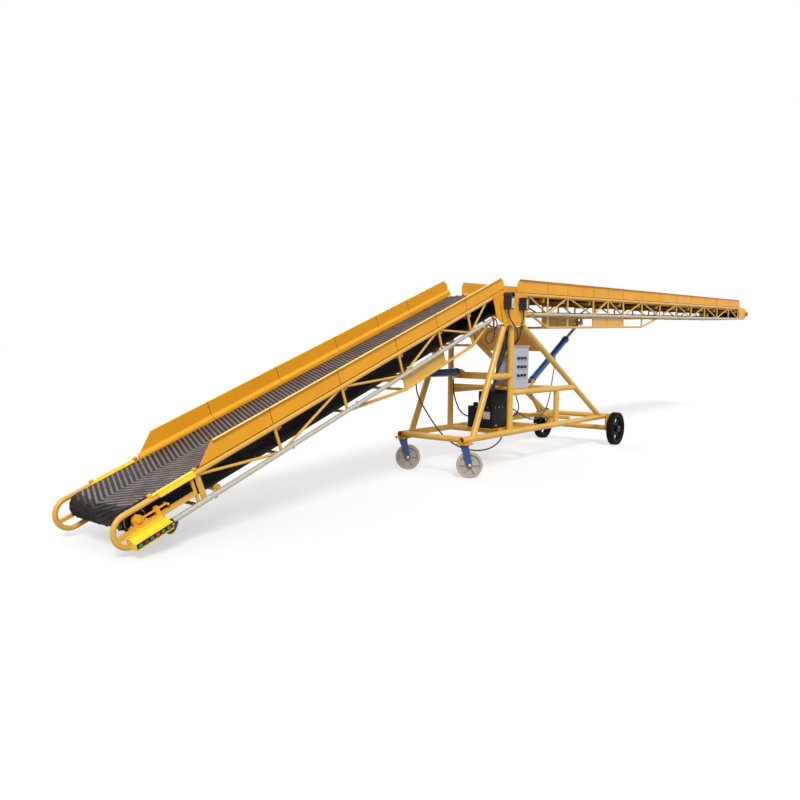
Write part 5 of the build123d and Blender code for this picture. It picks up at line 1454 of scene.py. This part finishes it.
@dataclass(frozen=True)
class CylinderDress:
    """Gland ring, wiper, end bands and hose nuts of one lift cylinder."""
    name: str
    base: Point
    tip: Vector
    barrel: float
    ports: tuple[float, float]
    hosed: tuple[bool, bool]
    gland: Outline = ((46.4, -58), (51, -58), (53.4, -50.4), (46.4, -50.4))
    band: Outline = ((46.3, 0), (51, 0), (51, 10), (46.3, 10))
    band_at: float = 60.0
    studs: int = 6
    stud_circle: float = 40.0
    wiper: Outline = ((24.8, 0.4), (34, 0.4), (33, 9), (27, 12), (24.8, 12))
    port_drop: float = 80.0
    pin_half: float = 57.2
    pin_cap: Outline = ((0, 3), (12, 3), (16, 1.6), (17, 0.2))

    def build(self) -> None:
        """Dresses the barrel and the rod."""
        base = TROLLEY.at(*self.base)
        axis = (self.tip - base).normalized()
        piece = Workpiece(BLUE, BLACK_PLASTIC, ZINC)
        end = base + axis * (self.barrel * MM)
        piece.lathe(end, axis, self.gland, 40)
        piece.lathe(base + axis * self.band_at * MM, axis, self.band, 40)
        for k in range(self.studs):
            turn = math.tau * k / self.studs
            spot = Matrix.Rotation(turn, 3, axis) @ axis.orthogonal().normalized()
            seat = end + spot * self.stud_circle * MM
            piece.rod(seat, seat + axis * 6 * MM, 7, 6, 0.8)
        piece.paint(BLACK_PLASTIC)
        piece.lathe(end, axis, self.wiper, 36)
        piece.paint(ZINC)
        for port, hosed in zip(self.ports, self.hosed):
            foot = base + axis * (port * MM) - Vector((0, 0, self.port_drop * MM))
            piece.rod(foot + Vector((0, 0, 4 * MM)), foot + Vector((0, 0, 24 * MM)), 19, 6, 1.5)
            if not hosed:
                piece.rod(foot - Vector((0, 0, 9 * MM)), foot, 12, 6, 1.2)
        piece.done(f"{self.name}_barrel_fittings", f"{self.name}_barrel")
        rod = Workpiece(ZINC)
        for side in BODY_SIDES:
            face = self.tip + Vector((0, side * self.pin_half * MM, 0))
            out = Vector((0, side, 0))
            rod.lathe(face, out, self.pin_cap, 24)
            rod.rod(face + out * 3 * MM - axis * 9 * MM, face + out * 3 * MM + axis * 9 * MM, 2.4, 8)
        rod.done(f"{self.name}_rod_pin_caps", f"{self.name}_rod")


@dataclass(frozen=True)
class HeadEnd:
    """Scraper, bearing covers and bolts at the discharge boom's head."""
    drum: tuple[float, float] = HEAD_DRUM
    belt_radius: float = HEAD_BELT_R
    plate_face: float = PLATE_FACE
    cap_face: float = 481.3
    scraper_lean: float = -118.0
    scraper_gap: float = 9.0
    cover: Outline = ((0, 9), (18, 9), (28, 5), (34, 3.4), (58, 3), (60, 0.4))
    bearing_bolts: Outline = ((-52, 46), (-52, -46), (18, 52), (18, -52))
    plate_bolts: tuple[float, ...] = (-520, -400, -280, -160)
    plate_bolt_c: float = 104.0

    def build(self) -> None:
        """Dresses the head."""
        piece = Workpiece(YELLOW, BLACK_PLASTIC, ZINC, SHEATH)
        a, c = self.drum
        along, up = DISCHARGE.along(), DISCHARGE.up()
        lean = math.radians(self.scraper_lean)
        out = along * math.cos(lean) + up * math.sin(lean)
        reach = self.belt_radius + self.scraper_gap
        blade = DISCHARGE.at(a, 0, c) + out * (reach + 14) * MM
        piece.paint(SHEATH)
        flat = out.cross(Vector((0, 1, 0)))
        piece.block(blade, (10, 700, 28), flat, out, 1)
        piece.paint(YELLOW)
        piece.block(blade + out * 26 * MM, (26, 838, 30), flat, out, 2)
        for side in BODY_SIDES:
            face = Vector((0, side, 0))
            piece.paint(BLACK_PLASTIC)
            piece.lathe(DISCHARGE.at(a, side * self.cap_face, c), face, self.cover, 48)
            piece.paint(ZINC)
            for da, dc in self.bearing_bolts:
                piece.bolt(DISCHARGE.at(a + da, side * self.plate_face, c + dc), face, 15)
            for da in self.plate_bolts:
                for dc in (-self.plate_bolt_c, self.plate_bolt_c):
                    piece.bolt(DISCHARGE.at(a + da, side * self.plate_face, dc), face, 13)
        piece.done("head_fittings", "discharge_boom")


@dataclass(frozen=True)
class DrumRims:
    """Bright worn rims round the ends of one drum."""
    name: str
    line: BoomLine
    drum: tuple[float, float]
    radius: float
    end: float = 385.0

    def build(self) -> None:
        """Adds a rim at each end of the drum."""
        piece = Workpiece(STEEL)
        r = self.radius
        for side in BODY_SIDES:
            at = self.line.at(self.drum[0], side * self.end, self.drum[1])
            rim = [(r - 7, 0.2), (r - 0.4, 0.2), (r - 0.4, 2), (r - 1.4, 3), (r - 7, 3)]
            piece.lathe(at, Vector((0, side, 0)), rim, 64)
        piece.done(self.name, self.line.body)


@dataclass(frozen=True)
class CordEnds:
    """Glands, hose ferrules and their hexagons where the cords leave what they serve."""
    name: str
    body: str
    ends: tuple[tuple[Point, Point, float], ...]
    finish: Finish = ZINC
    nut_end: float = 0.55
    sleeve_end: float = 1.3
    relief_end: float = 2.6

    def build(self) -> None:
        """Adds a hexagon, a sleeve and a tapered strain relief at each end."""
        piece = Workpiece(self.finish, BLACK_PLASTIC)
        for at, away, width in self.ends:
            start = TROLLEY.at(*at)
            axis = Vector(away).normalized()
            r = width / 2
            nut, sleeve, relief = width * self.nut_end, width * self.sleeve_end, width * self.relief_end
            piece.paint(self.finish)
            piece.rod(start, start + axis * (nut * MM), r + 7, 6, 1.2)
            piece.lathe(start, axis, [(r + 0.3, nut), (r + 4, nut), (r + 4, sleeve), (r + 0.3, sleeve)], 24)
            piece.paint(BLACK_PLASTIC)
            piece.lathe(start, axis, [(r + 0.3, sleeve), (r + 3.4, sleeve), (r + 0.6, relief),
                                      (r + 0.3, relief)], 24)
        piece.done(self.name, self.body)


@dataclass(frozen=True)
class BundleWrap:
    """Black wrap round the thick middle of the cable bundle, with its ties."""
    route: tuple[Point, ...]
    radius: float = 27.0
    ripple: float = 2.2
    steps: int = 10

    def build(self) -> None:
        """Adds the wrap and the ties."""
        piece = Workpiece(SHEATH, BLACK_PLASTIC)
        path = [TROLLEY.at(*point) for point in self.route]
        shares = [k / self.steps for k in range(self.steps)]
        dense = [start.lerp(end, share) for start, end in zip(path, path[1:]) for share in shares]
        dense.append(path[-1])
        last = len(dense) - 1
        swell = [self.radius * min(1.0, 0.78 + 0.06 * min(k, last - k)) for k in range(last + 1)]
        piece.sweep(dense, [radius + (self.ripple if k % 2 else 0) for k, radius in enumerate(swell)])
        piece.paint(BLACK_PLASTIC)
        for k in (3, last // 2, last - 3):
            axis = (dense[k + 1] - dense[k - 1]).normalized()
            r = self.radius + 2.4
            piece.lathe(dense[k], axis, [(r - 3, -5), (r + 1.6, -5), (r + 1.6, 5), (r - 3, 5)], 28)
        piece.done("bundle_wrap", "chassis")


@dataclass(frozen=True)
class Studio:
    """Plain floor, soft light and the photograph's camera."""
    eye: Point = (-7821, -5058, 1517)
    yaw: float = 50.85
    pitch: float = 4.39
    roll: float = 0.43
    lens: float = 32.63
    sensor: float = 36.0
    key: float = 2.6
    fill: float = 0.6
    glow: float = 0.56
    rim: float = 0.5
    floor_half: float = 150.0
    far: float = 500.0

    def seen(self, tree: bpy.types.NodeTree) -> bpy.types.NodeSocket:
        """Tells rays that show the background from rays that light the object.

        Args:
            tree: Node tree that takes the nodes.

        Returns:
            A socket that is 1 for camera, mirror and clear rays.
        """
        path = add_node(tree, "ShaderNodeLightPath", {})
        either = {"operation": "MAXIMUM"}
        shown = add_node(tree, "ShaderNodeMath", {0: path.outputs["Is Camera Ray"],
                                                  1: path.outputs["Is Glossy Ray"]}, either)
        return add_node(tree, "ShaderNodeMath", {0: shown.outputs[0],
                                                 1: path.outputs["Is Transmission Ray"]}, either).outputs[0]

    def floor(self) -> bpy.types.Object:
        """Makes a pale floor that keeps the shadow.

        Returns:
            The floor.
        """
        mesh = bmesh.new()
        bmesh.ops.create_grid(mesh, x_segments=1, y_segments=1, size=self.floor_half)
        data = bpy.data.meshes.new("studio_floor")
        mesh.to_mesh(data)
        mesh.free()
        floor = bpy.data.objects.new("studio_floor", data)
        floor.location.z = -MM
        bpy.context.scene.collection.objects.link(floor)
        material = bpy.data.materials.new("pale_floor")
        material.use_nodes = True
        tree = material.node_tree
        shader = tree.nodes["Principled BSDF"]
        shader.inputs["Base Color"].default_value = linear("#AAAAAA")
        shader.inputs["Roughness"].default_value = 1.0
        shader.inputs["Specular IOR Level"].default_value = 0.0
        shine = add_node(tree, "ShaderNodeMath", {0: self.seen(tree), 1: self.glow},
                         {"operation": "MULTIPLY"})
        shader.inputs["Emission Color"].default_value = (1, 1, 1, 1)
        tree.links.new(shine.outputs[0], shader.inputs["Emission Strength"])
        data.materials.append(material)
        return floor

    def lamp(self, name: str, strength: float, turn: Point, soft: float) -> None:
        """Adds one far lamp.

        Args:
            name: Name of the lamp.
            strength: Its strength.
            turn: Its rotation in degrees.
            soft: How wide it looks from the object, in degrees.
        """
        data = bpy.data.lights.new(name, "SUN")
        data.energy = strength
        data.angle = math.radians(soft)
        lamp = bpy.data.objects.new(name, data)
        lamp.rotation_euler = [math.radians(part) for part in turn]
        bpy.context.scene.collection.objects.link(lamp)

    def world(self) -> None:
        """Makes the white surroundings, softer as a light than as a background."""
        world = bpy.data.worlds.new("white_studio")
        world.use_nodes = True
        tree = world.node_tree
        back = tree.nodes["Background"]
        back.inputs["Color"].default_value = (1, 1, 1, 1)
        level = add_node(tree, "ShaderNodeMapRange", {0: self.seen(tree), 3: self.fill, 4: 1.0})
        tree.links.new(level.outputs[0], back.inputs["Strength"])
        bpy.context.scene.world = world

    def camera(self) -> None:
        """Stands the camera where the photograph was taken."""
        data = bpy.data.cameras.new("photo_camera")
        data.lens = self.lens
        data.sensor_width = self.sensor
        data.clip_end = self.far
        camera = bpy.data.objects.new("photo_camera", data)
        turn = Matrix.Rotation(math.radians(-self.yaw), 4, "Z")
        turn = turn @ Matrix.Rotation(math.radians(90 - self.pitch), 4, "X")
        turn = turn @ Matrix.Rotation(math.radians(self.roll), 4, "Z")
        camera.matrix_world = Matrix.Translation(TROLLEY.at(*self.eye)) @ turn
        bpy.context.scene.collection.objects.link(camera)
        bpy.context.scene.camera = camera

    def build(self) -> None:
        """Sets the whole studio."""
        bpy.context.scene.view_settings.view_transform = "Standard"
        self.floor()
        self.world()
        self.lamp("key_light", self.key, (47, 0, -42), 20)
        self.lamp("rim_light", self.rim, (-50, 20, 0), 40)
        self.camera()


NODE_FINISHES = {
    YELLOW: ("feed_skirts", "discharge_skirts", "feed_end_plates", "discharge_end_plates", "brace_plate",
             "pivot_cheeks", "tail_bearings", "head_bearings", "frame_brackets", "pack_tray",
             "feed_lugs", "discharge_lugs", "cylinder_brackets"),
    BRIGHT_LIT_YELLOW: ("guard_strips", "button_box"),
    BLUE: ("caster_fork_near", "caster_fork_far", "feed_barrel", "discharge_barrel"),
    NYLON: ("caster_wheel_near", "caster_wheel_far"),
    BLACK_ENAMEL: ("rear_rim_near", "rear_rim_far", "oil_tank", "pump_cowl", "feed_drums", "discharge_drums"),
    TYRE: ("rear_tyre_near", "rear_tyre_far"),
    BELT: ("feed_belt", "discharge_belt"),
    STEEL: ("pivot_shafts",),
    CHROME: ("feed_rod", "discharge_rod"),
    POWDER_GREY: ("switch_cabinet",),
    BLACK_PLASTIC: ("cabinet_knobs",),
    TERMINAL: ("terminal_boxes",),
    GALVANISED: ("conduit", "discharge_conduit"),
    GREEN_CAP: ("buttons",),
}


def dress_nodes() -> None:
    """Gives every CAD node its finish; tubes and what isn't listed take the tube enamel."""
    chosen = {name: finish for finish, names in NODE_FINISHES.items() for name in names}
    for name, node in frame["nodes"].items():
        finish = chosen.get(name, TUBE_YELLOW)
        node.data.materials.clear()
        node.data.materials.append(finish.material())
        log.info("%s: %s", name, finish.name)


def main() -> None:
    """Builds the dressed conveyor in order."""
    logging.basicConfig(level=logging.INFO, format="%(message)s")
    Studio().build()
    dress_nodes()
    for cord in CORDS:
        cord.build()
    ChevronBelt("feed_belt_ribs", FEED, *TAIL_DRUM, end_radius=TAIL_BELT_R, point_out=1,
                returns=(2180, 4480)).build()
    ChevronBelt("discharge_belt_ribs", DISCHARGE, *HEAD_DRUM, end_radius=HEAD_BELT_R, point_out=-1,
                returns=(2500, 2644, 5400, 8000)).build()
    SkirtDress("feed_skirt", FEED, seams=(-110, 751, 1343, 2063, 2941, 3809, 4607), top=294, rake=183,
               belt=(DRIVE_BELT_R, 133.3), reach=TAIL_DRUM[0]).build()
    SkirtDress("discharge_skirt", DISCHARGE,
               seams=(10, 804, 1391, 2235, 2764, 3363, 4162, 5015, 5887, 6742, 7597, 8463, 9337, 10290),
               top=310, rake=120, belt=(DRIVE_BELT_R, 72.3), reach=HEAD_DRUM[0]).build()
    TailEnd().build()
    ButtonStation().build()
    ConduitClips("conduit_clips", FEED, spots=(640, 1240, 1950, 2830, 3700, 4560), y=-456.1, c=-100,
                 radius=20).build()
    ConduitClips("discharge_conduit_clips", DISCHARGE,
                 spots=(700, 1290, 2130, 2660, 3260, 4060, 4910, 5780, 6640, 7490, 8360, 9230, 10020),
                 y=-458.3, c=-120, radius=17).build()
    TerminalBoxes().build()
    CabinetDress().build()
    PowerPack().build()
    for side, out in (("near", -1), ("far", 1)):
        RearWheel(side, out, centre=(2890, out * 620, 250)).build()
        Caster(side, swivel=(-990, out * 450)).build()
    HingeHead().build()
    CylinderDress("feed", base=(-135, 230, 1176), tip=FEED.at(1710, 230, -305), barrel=1150,
                  ports=(120, 890), hosed=(True, True)).build()
    CylinderDress("discharge", base=(1330, 0, 1010), tip=DISCHARGE.at(2644, 0, -226), barrel=1220,
                  ports=(110, 830), hosed=(False, True)).build()
    HeadEnd().build()
    DrumRims("tail_drum_rims", FEED, TAIL_DRUM, radius=88).build()
    DrumRims("head_drum_rims", DISCHARGE, HEAD_DRUM, radius=68).build()
    CordEnds("chassis_glands", "chassis", (
        ((-181, -515, 1948.6), (0, 0, -1), 16), ((181, -515, 1948.6), (0, 0, -1), 16),
        ((89.5, -417, 1507), (0, -0.35, 0.94), 16), ((121.8, -417, 1507), (0, -0.35, 0.94), 16),
        ((382, -300, 965.9), (0, 0, -1), 16), ((-30.4, -380, 1731), (-1, 0, 0.12), 16),
        ((0, -383, 1699.6), (0, 0, -1), 36), ((-78, -250, 937.4), (-0.06, -0.18, 0.98), 36)),
             BLACK_PLASTIC).build()
    CordEnds("tank_hose_ends", "chassis", (
        ((310.6, -180, 700), (1, 0, 0), 18), ((310.6, -229, 625), (0.94, -0.25, -0.2), 16),
        ((-107, 80.6, 608), (-0.1, 0.99, 0.12), 18), ((168, -261, 469.8), (-0.19, 0, -0.98), 18))).build()
    CordEnds("feed_hose_ends", "feed_barrel", (
        ((-1024.9, 230, 1080.4), (0, 0, -1), 18), ((-255, 230, 1094), (0, 0, -1), 18))).build()
    CordEnds("discharge_hose_ends", "discharge_barrel", (((2050, 0, 1342), (-0.08, 0, -1), 18),)).build()
    CordEnds("conduit_gland", "feed_boom", (((-480.6, -456.1, 1810.2), (0.938, 0, 0.347), 22),),
             BLACK_PLASTIC).build()
    BundleWrap(((3, -370, 1560), (0, -358, 1492), (-24, -334, 1374), (-56, -318, 1262))).build()


if __name__ == "__main__":
    main()
